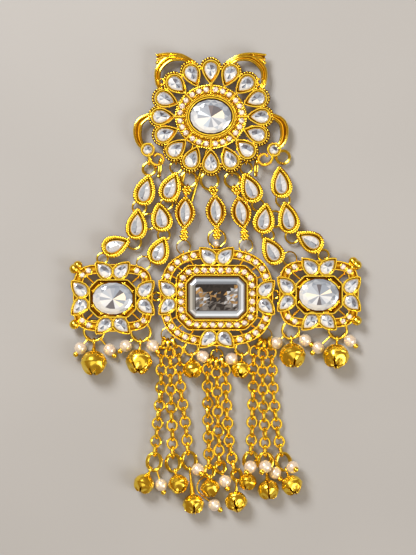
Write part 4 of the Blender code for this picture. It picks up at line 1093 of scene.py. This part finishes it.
class HAIRBROOCH_OT_centre_medallion(bpy.types.Operator):
    """Centre medallion: a cut-corner stone, a border and a band of small round stones, eight pears"""
    bl_idname = "hair_brooch.centre_medallion"
    bl_label = "Centre Medallion"

    def execute(self, context):
        look = context.scene.hair_brooch
        gold, stones, small = Form(), Form(), Form()
        z = SETTING_Z
        border = cut_box(CENTRE_BORDER, CENTRE_BORDER_CHAMFER, 120, 0.9) + CENTRE_SHIFT
        # Low polish rows paint shade on the floors, high ones paint glint on the rims
        moulding(gold, border, ((0.15, 0.0, 0.2), (0.0, 0.6, 0.5), (0.0, 1.4, 0.9), (0.06, 1.75, 1.0),
                                (0.2, 1.85, 1.0), (0.36, 1.72, 0.9), (0.5, 1.0, 0.1), (1.6, 1.15, 0.6),
                                (2.6, 1.0, 0.1)))
        bezel = cut_box(CENTRE_BEZEL, CENTRE_STONE_CHAMFER + 0.4, 120, 0.5) + CENTRE_SHIFT
        moulding(gold, bezel, ((-0.1, 1.0, 0.4), (-0.08, 1.9, 0.8), (0.0, 2.45, 1.0), (0.16, 2.55, 1.0),
                               (0.32, 2.45, 1.0), (0.4, 2.1, 0.6), (0.52, 1.5, 0.12), (1.1, 1.4, 0.1)))
        gold.add(grains(at_height(inset(bezel, -0.2), z + 1.95), 0.2, 0.5), 0.95)
        rim_wire(gold, border, 0.22, z + 1.75, 0.26)
        rim_wire(gold, bezel, 0.16, z + 2.45, 0.26)
        line = cut_box((11.35, 8.7), 3.0, 120, 0.9) + CENTRE_SHIFT
        places = even(np.roll(line, -3, axis=0), 28)
        chatons(gold, small, places, z + 1.45, seed=7)
        between = (places + np.roll(places, -1, axis=0)) / 2
        for distance in (-0.66, 0.66):
            prong_grains(gold, inset(between, distance), z + 1.5)
        outer_band(gold, stones, CENTRE_SHIFT, CENTRE_BAND, CENTRE_BAND_POWER, CENTRE_PEARS, 300)
        arc = soft_box(CENTRE_BAND, CENTRE_BAND_POWER, 400)
        arc = arc[(arc[:, 0] > 7.2) & (arc[:, 1] > 6.6)]
        arc = even(arc[np.argsort(np.arctan2(arc[:, 1], arc[:, 0]))], 5, closed=False)
        gaps = (arc[1:] + arc[:-1]) / 2
        for corner in CORNERS:
            chatons(gold, small, arc * corner + CENTRE_SHIFT, z + 1.15, seed=11 + corner[0] + 2 * corner[1])
            for away in (0.72, -0.72):
                prong_grains(gold, (gaps + unit(gaps) * away) * corner + CENTRE_SHIFT, z + 1.15)
            for *spot, reach in ((11.3, 8.8, 3.0), (12.6, 6.0, 3.4), (7.2, 10.2, 2.6)):
                start = np.array(corner) * spot + CENTRE_SHIFT
                gold.add(rod((*start, z + 0.8), (*(start + unit(start) * reach), z + 0.8), 0.36), 0.6)
        for drop in MARQUISES:
            low, radius = drop[6:]
            holder = (low[0], CENTRE_BAND[1] * (1 - (abs(low[0]) / CENTRE_BAND[0]) ** 2 * 0.22))
            solder_eye(gold, low, radius, holder)
        for name, spot, radius, holder, pearls in BELL_RINGS:
            if name.startswith("middle"):
                solder_eye(gold, spot, radius, holder)
        for spot, radius, holder in TASSEL_RINGS.values():
            solder_eye(gold, spot, radius, holder)
        for side, sign in SIDES:
            joint = joint_spot(side, sign)
            solder_eye(gold, joint, SIDE_JOINT_RING, (sign * CENTRE_BAND[0], joint[1]))
        name = "centre_medallion_"
        gold.piece(name + "gold", gold_finish(name + "gilding", look), "gold", "centre_frame")
        stones.piece(name + "pear_stones", stone_finish("centre_crystal", look), "crystal")
        small.piece(name + "chatons", stone_finish("centre_blush_crystal", look), "crystal")
        return {"FINISHED"}


# Large stones

def step_stone(form):
    """The cut-corner centre stone: pale steps, then a table of shards, dark above and below, pale at the sides, all
    in painted light and painted reflections.
    """
    z = SETTING_Z + 1.5
    a, b = CENTRE_STONE
    # Each step's tone is a painted reflection
    steps = ((0.0, -0.6, None), (0.0, 0.3, (0.16, 0.14, 0.12)), (0.55, 0.8, (0.27, 0.27, 0.27)),
             (1.35, 1.1, (0.80, 0.85, 0.90)), (2.1, 1.25, (0.36, 0.38, 0.40)),
             (CENTRE_TABLE, 1.3, (0.10, 0.09, 0.09)))
    # Painted light on the eight sides: darker at the top, brighter at the bottom and the right
    lit = np.array(((0.95, 0.95, 0.95), (0.8, 0.8, 0.8), (0.5, 0.52, 0.55), (0.6, 0.6, 0.62), (0.62, 0.56, 0.46),
                    (0.85, 0.82, 0.78), (1.05, 1.1, 1.15), (1.1, 1.1, 1.1)))
    rng = np.random.default_rng(21)
    rings, quads, tones = [], [], []
    count = len(lit)
    k = np.arange(count)
    for move, height, tone in steps:
        c = max(CENTRE_STONE_CHAMFER - move * 0.72, 0.35)
        x, y = a - move, b - move
        corners = np.array(((x, -y + c), (x, y - c), (x - c, y), (-x + c, y), (-x, y - c), (-x, -y + c),
                            (-x + c, -y), (x - c, -y)))
        rings.append(at_height(corners + CENTRE_SHIFT, z + height))
        if tone:
            high = (len(rings) - 1) * count + k
            after = high - k + (k + 1) % count
            quads.append(np.column_stack((high - count, after - count, after, high)))
            tones.append(np.array(tone) * lit * rng.uniform(0.88, 1.08, (count, 1)))
    verts = np.vstack(rings)
    form.add((verts, [k[None, ::-1], np.vstack(quads), (len(verts) - count + k)[None]]),
             foil=[np.ones((1, 3)) * 0.3, np.clip(np.vstack(tones), 0, 1), np.ones((1, 3)) * 0.05])

    # The table: a grid of points whose inner ones are shifted, each cell cut into two shards
    x, y, top = a - CENTRE_TABLE, b - CENTRE_TABLE, z + 1.3
    cells = (9, 13)
    gx, gy = np.meshgrid(np.linspace(-x, x, cells[1]), np.linspace(-y, y, cells[0]))
    inside = np.zeros(cells)
    inside[1:-1, 1:-1] = 1
    gx = gx + inside * rng.uniform(-0.38, 0.38, cells)
    gy = gy + inside * rng.uniform(-0.32, 0.32, cells)
    height = top + 0.02 + inside * rng.uniform(0.0, 0.12, cells)
    upper = np.column_stack((gx.ravel() + CENTRE_SHIFT[0], gy.ravel() + CENTRE_SHIFT[1], height.ravel()))
    index = np.arange(len(upper)).reshape(cells)
    p, q, r, s = (part.ravel() for part in (index[:-1, :-1], index[:-1, 1:], index[1:, 1:], index[1:, :-1]))
    shards = np.vstack((np.column_stack((p, q, r)), np.column_stack((p, r, s))))
    rim = np.concatenate((index[0], index[1:, -1], index[-1, -2::-1], index[-2:0:-1, 0]))
    lower = upper[rim] * (1, 1, 0) + (0, 0, top - 0.3)
    base = len(upper) + np.arange(len(rim))
    wall = np.column_stack((rim, np.roll(rim, -1), np.roll(base, -1), base))
    middle = upper[shards].mean(axis=1)[:, :2] - CENTRE_SHIFT
    far, rise = np.abs(middle[:, :1]) / x, middle[:, 1:] / y
    draw, depth = rng.uniform(0, 1, (len(shards), 1)), rng.uniform(0.5, 1.5, (len(shards), 1))
    # Shard tones are painted reflections
    dark, amber, pale, grey = (np.array(tone) * depth for tone in (
        (0.018, 0.013, 0.010), (0.30, 0.17, 0.055), (0.42, 0.43, 0.44), (0.15, 0.135, 0.12)))
    tone = np.where(draw > 0.8, amber, dark)
    tone = np.where((rise < -0.35) & (draw > 0.4), grey, tone)
    flank = np.where(draw > 0.65, amber, np.where(draw > 0.3, pale, grey))
    tone = np.where((far > 0.42) & (far * 0.9 > np.abs(rise)), flank, tone)
    form.add((np.vstack((upper, lower)), [shards, wall, base[None, ::-1]]),
             foil=[np.clip(tone, 0, 1), np.ones((len(wall), 3)) * 0.1, np.ones((1, 3)) * 0.1])


class HAIRBROOCH_OT_large_stones(bpy.types.Operator):
    """The three ovals and the cut-corner centre stone"""
    bl_idname = "hair_brooch.large_stones"
    bl_label = "Large Stones"

    def execute(self, context):
        look = context.scene.hair_brooch
        finish = stone_finish("large_crystal", look, 0.02)
        dark_reflection, grey, cream, ice = (0.10, 0.09, 0.10), (0.34, 0.37, 0.42), (1.0, 0.88, 0.66), (0.80, 0.90, 1.0)
        left, right = (np.array(MEDALLIONS[side]) + (SIDE_SHIFT + np.array((0.0, SIDE_DROP))) for side, sign in SIDES)
        # Each oval's chosen wedges and their painted reflection tones
        ovals = (
            ("rosette_stone", ROSETTE_STONE, ROSETTE_CENTRE, 41,
             {0: dark_reflection, 1: dark_reflection, 2: (0.16, 0.13, 0.13), 3: grey, 5: ice, 6: grey, 9: (0.5, 0.58, 0.66), 10: grey,
              12: grey, 14: cream, 15: cream}),
            ("left_stone", SIDE_STONE, left, 42,
             {0: dark_reflection, 2: grey, 3: (0.5, 0.52, 0.55), 6: grey, 9: dark_reflection, 10: dark_reflection, 12: cream, 14: cream,
              15: cream}),
            ("right_stone", SIDE_STONE, right, 43,
             {2: dark_reflection, 3: grey, 6: cream, 8: grey, 10: dark_reflection, 11: grey, 14: grey, 15: cream}),
        )
        for node, half, centre, seed, dark in ovals:
            form = Form()
            oval_stone(form, half, centre, SETTING_Z + 1.75, 1.0, seed, dark)
            form.piece(node + "_cut", finish, "crystal", node)
        form = Form()
        step_stone(form)
        finish = stone_finish("smoked_crystal", look, 0.02, 0.2)
        form.piece("centre_stone_cut", finish, "smoked_crystal", "centre_stone")
        return {"FINISHED"}


# Link chains and marquise drops

def spine(tip, tail):
    """Middle, length and turn of a link from its tip to its tail, and the way it points."""
    tip, tail = np.array(tip, dtype=float), np.array(tail, dtype=float)
    back = tip - tail
    return (tip + tail) / 2, float(np.linalg.norm(back)), math.atan2(-back[0], back[1]), unit(tail - tip)


class HAIRBROOCH_OT_pear_links(bpy.types.Operator):
    """Twelve pear links with ribbed rims, each with its jump ring"""
    bl_idname = "hair_brooch.pear_links"
    bl_label = "Pear Links"

    def execute(self, context):
        look = context.scene.hair_brooch
        gilding = gold_finish("link_gilding", look)
        crystal = stone_finish("link_crystal", look)
        before = {}
        z = SETTING_Z
        for number, (name, tip, tail, after, radius) in enumerate(PEAR_LINKS):
            gold, stone = Form(), Form()
            chain, place = name[:-2], name[-1]
            inner, side = chain.startswith("inner"), chain[6:]
            middle, length, turn, down = spine(tip, tail)
            outline = turned(pear(LINK_WIDTH, length + 1.1, 72), middle, turn)
            seat = turned(pear(LINK_STONE[0], length * LINK_STONE[1], 72), middle + down * 0.45, turn)
            cup(gold, inset(outline, 0.12), seat, height=1.45, rim=0.9)
            line = at_height(inset(outline, 0.6), z + 1.4)
            path = even(line, round(outline_length(line) / look.rib_spacing * MM) * 4)
            swell = LINK_RIM * (1 + 0.17 * np.cos(np.arange(len(path)) * math.pi / 2))
            # Polish follows the ribs: painted glint on each swell, painted shade between them
            polish = np.clip(0.8 + (swell - LINK_RIM) * 2.6, 0, 1).repeat(10)
            gold.add(wire(path, swell, 10, closed=True, flatness=0.55), polish)
            ridge_stone(stone, seat, down, z + 1.2, 0.8, 400 + number)
            if chain in before:
                solder_eye(gold, *before[chain], middle + unit(np.array(tip) - middle) * length * 0.3)
            else:
                soldered_ring(gold, *CHAIN_HEADS[chain][:2], middle, 0.33 if inner else 0.5)
                if chain in STIRRUPS:
                    top, low = (np.array((*end, height)) for end, height in zip(STIRRUPS[chain], (3.2, 1.5)))
                    pull = (low - top, float(np.linalg.norm(low - top)) / 2.2)
                    gold.add(ring((top + low) / 2, 1.1, 0.33, np.cross(low - top, (0.35, 0, 1.0)), 40, stretch=pull))
            soldered_ring(gold, after, radius, middle, 0.26 if inner and place == "3" else 0.36)
            if place == "2":
                cross = CROSS_RINGS[side]
                if inner:
                    soldered_ring(gold, cross, CROSS_RING, middle, 0.38)
                else:
                    solder_eye(gold, cross, CROSS_RING, toward(cross, middle, CROSS_RING + 0.9))
            before[chain] = (after, radius)
            gold.piece("link_gold_" + name, gilding, "gold", "pear_link_" + name)
            stone.piece("link_stone_" + name, crystal, "crystal")
        return {"FINISHED"}


class HAIRBROOCH_OT_marquise_drops(bpy.types.Operator):
    """Three marquise drops with beaded rims and clusters of grains"""
    bl_idname = "hair_brooch.marquise_drops"
    bl_label = "Marquise Drops"

    def execute(self, context):
        look = context.scene.hair_brooch
        gilding = gold_finish("drop_gilding", look)
        crystal = stone_finish("drop_crystal", look)
        z = SETTING_Z
        for number, (name, top_ring, radius, cluster, tip, tail, low_ring, low_radius) in enumerate(MARQUISES):
            gold, stone = Form(), Form()
            middle, length, turn, down = spine(tip, tail)
            outline = turned(marquise(MARQUISE_WIDTH, length + 1.7, 72), middle, turn)
            seat = turned(marquise(MARQUISE_STONE[0], length * MARQUISE_STONE[1], 72), middle, turn)
            cup(gold, inset(outline, 0.2), seat, height=1.2, rim=0.8)
            rim = inset(outline, 0.5)
            # Low polish paints shade on the rim wire under the beads
            gold.add(wire(at_height(rim, z + 1.2), 0.36, closed=True), 0.2)
            gold.add(copies(globe(9, 6), even(at_height(rim, z + 1.35), 30), sizes=0.46))
            ridge_stone(stone, seat, down, z + 1.1, 0.8, 450 + number)
            foot = toward(tail, low_ring, CLUSTER_DROP)
            gold.add(rod((*tail, z + 0.8), (*foot, z + 0.8), 0.5), 0.8)
            petals = rays(np.arange(6) * math.pi / 3 + turn)
            clusters = ((cluster, 1.1, 0.62), (toward(tail, low_ring, 1.2), 0.85, 0.56), (foot, 0.95, 0.58))
            for spot, reach, size in clusters:
                gold.add(balls(at_height(petals * reach + spot, z + 0.85), size))
                gold.add(balls([(*spot, z + 1.2)], size * 1.05))
                # Low polish paints shade on the broad ball under each cluster
                gold.add(balls([(*spot, z + 0.5)], reach), 0.1)
            gold.add(rod((*cluster, z + 0.8), (*toward(tip, tail, 0.8), z + 0.9), 0.5), 0.8)
            solder_eye(gold, top_ring, radius, cluster)
            soldered_ring(gold, low_ring, low_radius, middle, 0.34 if name == "middle" else 0.2)
            if name == "middle":
                bead = Form().add(balls([(0.0, 16.9, 3.0)], 0.95, 24, 16))
                bead.piece("drop_pearl_middle", pearl_finish("drop_nacre", look), None)
            gold.piece("drop_gold_" + name, gilding, "gold", "marquise_drop_" + name)
            stone.piece("drop_stone_" + name, crystal, "crystal")
            loop = Form().add(ring((*top_ring, RING_Z), radius, FULL_RING_WIRE, around=48))
            loop.piece("hanging_loop_" + name, gilding, "gold", "hanging_ring_" + name)
        return {"FINISHED"}


# Bells, pearls and chains

def bell_shape(radius, spin):
    """Round bell, neck at -X and mouth at +X, as latitude a and longitude b.

    The lower half is pinched into four flats, r = R (1 - 0.19 low cos squared 2b), with a crease between
    each two that opens into a narrow slot towards the square hole of the mouth."""
    lean = np.radians(np.concatenate((np.linspace(8, 82, 12), (86, 88.5, 91.5, 94), np.linspace(98, 177, 34))))
    turn = np.arange(80) * 2 * math.pi / 80
    a, b = lean[:, None], turn[None] + math.radians(spin)
    low = np.clip((a - 1.55) / 0.9, 0, 1)
    low = low * low * (3 - 2 * low)
    r = (radius - 0.06) * (1 - 0.19 * low * np.cos(2 * b) ** 2)
    r = r * (1 - 0.04 * (a > math.pi / 2)) + 0.1 * np.exp(-((a - math.pi / 2) / 0.06) ** 2)
    off = radius * np.sin(a) * np.minimum(np.abs(np.sin(b - math.pi / 4)), np.abs(np.cos(b - math.pi / 4)))
    far = radius * np.sin(a) * (a > math.pi / 2) + 9.0 * (a <= math.pi / 2)
    width = 0.22 * np.clip((a - 2.0) / 0.3, 0, 1)
    slot = np.clip(1.7 - off / np.maximum(width, 1e-3), 0, 1)
    hole = np.clip((0.95 - far) / 0.3, 0, 1)
    deep = np.maximum(slot, hole)
    r = r - 0.6 * deep
    points = np.stack((-r * np.cos(a), r * np.sin(a) * np.cos(turn), r * np.sin(a) * np.sin(turn)), axis=2)
    # Low polish paints shade in the slots and the mouth's hole
    return grid(points), np.clip(1.0 - 1.3 * deep, 0, 1).ravel()


def hang_frame(start, end, lift):
    """Rows are the hanging direction tipped up by the lift, the level across, and the third."""
    plan = unit(np.array(end, dtype=float)[:2] - np.array(start, dtype=float)[:2])
    along = np.array((plan[0] * math.cos(lift), plan[1] * math.cos(lift), math.sin(lift)))
    across = np.array((-plan[1], plan[0], 0.0))
    return np.array((along, across, np.cross(along, across)))


def dress_bell(name, node, centre, ring_radius, spot, radius, tip, spin, gilding):
    """A bell with its neck, and the loop round the ring that carries it."""
    form = Form()
    middle = np.array((*spot, radius))
    axes = hang_frame(centre, spot, math.radians(tip))
    (verts, faces), polish = bell_shape(radius, spin)
    form.add((verts @ axes + middle, faces), polish)
    place = np.array((*toward(centre, spot, ring_radius), RING_Z))
    pole = middle - axes[0] * radius * 0.98
    neck = np.linspace(pole + axes[0] * 0.25, pole - axes[0] * 0.6, 4)
    form.add(wire(neck, (1.35, 1.0, 0.75, 0.55), 16, up=axes[1]))
    loop = place + unit(pole - place) * EYE_RADIUS * 0.35
    form.add(ring(loop, EYE_RADIUS * 1.05, 0.42, axis=axes[1], around=24, sides=8))
    joint = loop + unit(pole - loop) * EYE_RADIUS
    if np.linalg.norm(pole - joint) > 0.3:
        form.add(rod(joint, pole, (0.4, 0.46, 0.56, 0.7, 0.9), 5, up=axes[1]), 0.95)
    form.piece(name, gilding, "gold", node, crease=50)


def dress_pearl(gold, pearls, centre, ring_radius, path):
    """A pearl on its head pin: a loop round the ring, the stem, a cap, and the pin's ball beyond the pearl."""
    path = np.array([(*toward(centre, path[0][:2], ring_radius), RING_Z), *path], dtype=float)
    aim = unit(path[-1] - path[-2])
    up = unit(np.cross(aim, (0.3, 0.1, 1.0)))
    gold.add(rounded_wire(curve_through(path, 6 * len(path)), STEM_WIRE * 1.15, 7, up=up), 0.95)
    side_way = unit(np.cross(unit(path[1] - path[0]), (0.0, 0.0, 1.0)))
    for shift in (-0.32, 0.32):
        gold.add(ring(path[0] + side_way * shift, 0.66, 0.2, axis=side_way, around=18, sides=7), 0.9)
    path[-1, 2] = max(path[-1, 2], PEARL_LUSTRE)
    pearls.add(balls([path[-1]], PEARL_LUSTRE, 40, 26))
    gold.add(ring(path[-1] - aim * PEARL * 0.96, 0.36, 0.2, axis=aim, around=16, sides=8), 0.8)
    gold.add(balls([path[-1] + aim * (PEARL + 0.55)], 0.9, 20, 12))


def end_oval(name, route, end):
    """Centre of a chain's oval end ring, the way it hangs, and its half width and half length."""
    half = OVAL_RING[name[:-2]]
    aim = unit(np.array(end) - np.array(route[-1]))
    return np.array(end) + aim * (half[1] - END_RING), aim, half


def oval_reach(centre, aim, half, spot):
    """Distance from the oval's middle to its wire towards the spot: 1 over the root of (x/a)^2 + (y/b)^2."""
    along = unit(np.array(spot)[:2] - centre) @ aim
    return 1.0 / math.sqrt((along / half[1]) ** 2 + (1 - along ** 2) / half[0] ** 2)


class HAIRBROOCH_OT_bells(bpy.types.Operator):
    """Jump rings with bells and pearls under the medallions, and the bells of the tassels"""
    bl_idname = "hair_brooch.bells"
    bl_label = "Bells and Rings"

    def execute(self, context):
        look = context.scene.hair_brooch
        gilding = gold_finish("bell_gilding", look, 0.06, 0.09)
        wire_gilding = gold_finish("ring_gilding", look, 0.06)
        nacre = pearl_finish("ring_nacre", look)
        places = {}
        for name, centre, radius, holder, pearl_spots in BELL_RINGS:
            gold, pearls = Form(), Form()
            gold.add(ring((*centre, RING_Z), radius, FULL_RING_WIRE, around=56, sides=12))
            for spot in pearl_spots:
                dress_pearl(gold, pearls, centre, radius, ((*spot, PEARL),))
            gold.piece("bell_loop_" + name, wire_gilding, "gold", "bell_ring_" + name)
            pearls.piece("ring_pearls_" + name, nacre, None)
            places[name] = (centre, radius)
        for name, *rest in RING_BELLS:
            dress_bell("round_bell_" + name, "bell_" + name, *places[name], *rest, gilding)
        ends = {name: end_oval(name, route, end) for name, tassel, route, end in CHAINS}
        for name, spot, *rest in TASSEL_BELLS:
            dress_bell("round_tassel_bell_" + name, "tassel_bell_" + name, ends[name][0],
                       oval_reach(*ends[name], spot), spot, *rest, gilding)
        return {"FINISHED"}


class HAIRBROOCH_OT_tassels(bpy.types.Operator):
    """Nine chains of round links, turned face-on and edge-on by turns"""
    bl_idname = "hair_brooch.tassels"
    bl_label = "Tassels"

    def execute(self, context):
        look = context.scene.hair_brooch
        gilding = gold_finish("chain_gilding", look, 0.06)
        nacre = pearl_finish("tassel_nacre", look)
        for name, (centre, radius, holder) in TASSEL_RINGS.items():
            loop = Form().add(ring((*centre, RING_Z), radius, RING_WIRE if name == "middle" else 0.2, around=48))
            loop.piece("tassel_loop_" + name, gilding, "gold", "tassel_ring_" + name)
        line = at_height(oval((LINK_REACH, LINK_SIDE), 22), 0)
        link, bar = wire(line, LINK_WIRE, closed=True), wire(line * (1, 0.94, 1), LINK_WIRE * 1.45, closed=True)
        for name, tassel, route, end in CHAINS:
            gold, pearls = Form(), Form()
            centre, radius = TASSEL_RINGS[tassel][:2]
            number = int(name[-1])

            # The middle chain of a tassel lies over the other two
            z = CHAIN_Z + (0.9 if number == 2 else 0.0)
            across = (number - 2) * TASSEL_STEP
            start = (centre[0] + across, centre[1] - math.sqrt(radius ** 2 - across ** 2), RING_Z)
            finish = (*toward(end, route[-1], END_RING), RING_Z)
            path = curve_through([start, *((x, y, z) for x, y in route), finish], 400)
            length = outline_length(path, closed=False)
            margin = LINK_REACH - LINK_WIRE - RING_WIRE
            count = 2 * round(((length - 2 * margin) / LINK_PITCH) / 2) + 1
            spots = at_lengths(path, np.linspace(margin, length - margin, count))

            # Each link's frame: along the chain, then its flat turned about the chain by its roll
            along = unit(np.gradient(spots, axis=0))
            level = unit(np.cross((0.0, 0.0, 1.0), along))
            upright = np.arange(count) % 2 == 0
            rng = np.random.default_rng(500 + number)
            roll = np.where(upright, math.radians(87), math.radians(8)) + rng.uniform(-0.1, 0.1, count)
            roll = (roll * np.where(rng.uniform(0, 1, count) > 0.5, 1, -1))[:, None]
            side_way = np.cos(roll) * level + np.sin(roll) * np.cross(along, level)
            frames = np.stack((along, side_way, np.cross(along, side_way)), axis=1)
            spots[:, 2] = np.maximum(spots[:, 2], np.where(upright, 2.1, 0.65))
            gold.add(copies(link, spots[1::2], frames[1::2]), 0.95)
            gold.add(copies(bar, spots[::2], frames[::2]))
            oval_centre, aim, half = end_oval(name, route, end)
            for shift, lift in ((-0.15, 0.0), (0.25, 0.6)):
                place = (*(oval_centre + np.array((-aim[1], aim[0])) * shift), RING_Z + lift)
                gold.add(ring(place, half[0], 0.44, around=44, stretch=((*aim, 0), half[1] / half[0])))
            for bends in CHAIN_PEARLS.get(name, ()):
                dress_pearl(gold, pearls, oval_centre, oval_reach(oval_centre, aim, half, bends[0]), bends)
            gold.piece("chain_" + name, gilding, "gold", "tassel_chain_" + name)
            if pearls.count:
                pearls.piece("chain_pearls_" + name, nacre, None)
        return {"FINISHED"}


class HAIRBROOCH_OT_hair_pin(bpy.types.Operator):
    """The hair pin's plate and its two prongs, behind the rosette"""
    bl_idname = "hair_brooch.hair_pin"
    bl_label = "Hair Pin"

    def execute(self, context):
        form = Form()
        width, length, top = PIN_PLATE
        outline = soft_box((width / 2, length / 2), 8) + ROSETTE_CENTRE
        form.add(carried(outline, ((0.25, 0.0), (0.0, 0.25), (0.0, top - 0.25), (0.25, top))), 0.7)
        for root, tip in zip(PRONG_ROOTS, PRONG_TIPS):
            form.add(rod((*root, PRONG_WIRE), (*tip, PRONG_WIRE), PRONG_WIRE, 12, sides=14), 0.9)
        gilding = gold_finish("pin_gilding", context.scene.hair_brooch, 0.05)
        form.piece("hair_pin_prongs", gilding, "gold", "hair_pin")
        return {"FINISHED"}


# Stage

def soft_light(name, place, size, power, colour):
    """A round area light that faces the middle of the stage."""
    data = bpy.data.lights.new(name, "AREA")
    data.shape = "DISK"
    data.size = size
    data.energy = power
    data.color = colour
    lamp = bpy.data.objects.new(name, data)
    bpy.context.scene.collection.objects.link(lamp)
    lamp.location = place
    lamp.rotation_mode = "QUATERNION"
    lamp.rotation_quaternion = lamp.location.to_track_quat("Z", "Y")


class HAIRBROOCH_OT_stage(bpy.types.Operator):
    """Pale floor, soft lights and the camera straight above"""
    bl_idname = "hair_brooch.stage"
    bl_label = "Stage"

    def execute(self, context):
        look = context.scene.hair_brooch
        scene = context.scene
        scene.view_settings.view_transform = "Standard"
        mesh = bpy.data.meshes.new("floor")
        corners = [(-1, -1), (1, -1), (1, 1), (-1, 1)]
        mesh.from_pydata([(x * FLOOR_REACH, y * FLOOR_REACH, 0) for x, y in corners], [], [(0, 1, 2, 3)])
        floor = bpy.data.objects.new("floor", mesh)
        scene.collection.objects.link(floor)
        finish = Finish("pale_floor")
        mottle = finish.noise(9.0, 2.0).between(0.3, 0.7)
        tone = finish.blend(mottle, (*look.floor_colour, 1.0), (*(0.94 * c for c in look.floor_colour), 1.0))
        mesh.materials.append(finish.set(Base_Color=tone, Roughness=0.7))
        soft_light("key", (-0.32, 0.42, 0.55), 0.32, look.key_power, (0.98, 0.98, 1.0))
        soft_light("fill", (0.5, -0.25, 0.42), 0.4, look.key_power * 0.4, (0.95, 0.97, 1.0))
        soft_light("sky", (0.0, 0.0, 1.3), 1.3, look.sky_power, (0.98, 0.99, 1.0))
        world = bpy.data.worlds.new("studio")
        world.use_nodes = True
        background = world.node_tree.nodes["Background"].inputs
        background["Color"].default_value = (1.0, 0.66, 0.34, 1.0)
        background["Strength"].default_value = look.world_strength
        scene.world = world
        data = bpy.data.cameras.new("camera")
        data.sensor_fit = "VERTICAL"
        data.sensor_height = 24.0
        data.lens = data.sensor_height * CAMERA_DISTANCE / (PICTURE_ROWS * PIXEL * MM)
        data.clip_start = 0.01
        camera = bpy.data.objects.new("camera", data)
        right, up = PICTURE_MIDDLE[0] - STONE_SPOT[0], STONE_SPOT[1] - PICTURE_MIDDLE[1]
        x, y, z = (np.array((right * PIXEL, up * PIXEL, SCALE_Z)) + ORIGIN) * MM
        camera.location = (x, y, z + CAMERA_DISTANCE)
        scene.collection.objects.link(camera)
        scene.camera = camera
        return {"FINISHED"}


def colour(name, description, default):
    """A colour that a user would change."""
    return bpy.props.FloatVectorProperty(
        name=name, description=description, subtype="COLOR", size=3, min=0, max=1, default=default)


class BroochLook(bpy.types.PropertyGroup):
    """Colours and sizes that a user would change."""
    gold_colour: colour("Gold", "Gilding in full light", (0.98, 0.59, 0.026))
    # Painted glint: a paler gold on the raised places that stands for highlights
    painted_glint_colour: colour("Glint", "Gilding on the most polished places", (1.0, 0.715, 0.07))
    # Painted shade on the walls of the settings
    painted_shade_colour: colour("Shade", "Gilding on the walls of the settings", (0.40, 0.15, 0.005))
    # Patina with painted shade in the recesses
    recess_patina_and_shade_colour: colour("Recess", "Patina in the recesses", (0.05, 0.012, 0.001))
    crystal_colour: colour("Crystal", "Cast of the clear stones", (0.90, 0.94, 1.0))
    pearl_colour: colour("Pearl", "Cream of the pearls", (0.92, 0.82, 0.66))
    pearl_blush: colour("Blush", "Pink cloud in the pearls", (0.86, 0.70, 0.56))
    floor_colour: colour("Floor", "Colour of the floor", (0.42, 0.415, 0.40))
    roughness: bpy.props.FloatProperty(
        name="Roughness", description="Roughness of polished gilding", subtype="FACTOR", min=0, max=1, default=0.16)
    rib_spacing: bpy.props.FloatProperty(
        name="Rib Spacing", description="Distance between the ribs of a link's rim", unit="LENGTH", min=0.0002,
        max=0.003, default=0.00074)
    key_power: bpy.props.FloatProperty(
        name="Key Power", description="Power of the main light", unit="POWER", min=0, max=200, default=5.4)
    sky_power: bpy.props.FloatProperty(
        name="Sky Power", description="Power of the wide light overhead", unit="POWER", min=0, max=200, default=3.8)
    world_strength: bpy.props.FloatProperty(
        name="World", description="Strength of the surrounding light", min=0, max=5, default=0.29)


STEPS = ("rosette", "side_medallions", "centre_medallion", "large_stones", "pear_links", "marquise_drops",
         "bells", "tassels", "hair_pin", "stage")


class HAIRBROOCH_PT_panel(bpy.types.Panel):
    """Lists the brooch's steps and its looks"""
    bl_idname = "HAIRBROOCH_PT_panel"
    bl_label = "Hair Brooch"
    bl_space_type = "VIEW_3D"
    bl_region_type = "UI"
    bl_category = "Brooch"

    def draw(self, context):
        look = context.scene.hair_brooch
        for name in BroochLook.__annotations__:
            self.layout.prop(look, name)
        for step in STEPS:
            self.layout.operator("hair_brooch." + step)


CLASSES = (BroochLook, HAIRBROOCH_OT_rosette, HAIRBROOCH_OT_side_medallions, HAIRBROOCH_OT_centre_medallion,
           HAIRBROOCH_OT_large_stones, HAIRBROOCH_OT_pear_links, HAIRBROOCH_OT_marquise_drops,
           HAIRBROOCH_OT_bells, HAIRBROOCH_OT_tassels, HAIRBROOCH_OT_hair_pin, HAIRBROOCH_OT_stage,
           HAIRBROOCH_PT_panel)


def register():
    for each in CLASSES:
        bpy.utils.register_class(each)
    bpy.types.Scene.hair_brooch = bpy.props.PointerProperty(type=BroochLook)


def unregister():
    del bpy.types.Scene.hair_brooch
    for each in reversed(CLASSES):
        bpy.utils.unregister_class(each)


def main():
    register()
    for step in STEPS:
        getattr(bpy.ops.hair_brooch, step)()


if __name__ == "__main__":
    main()
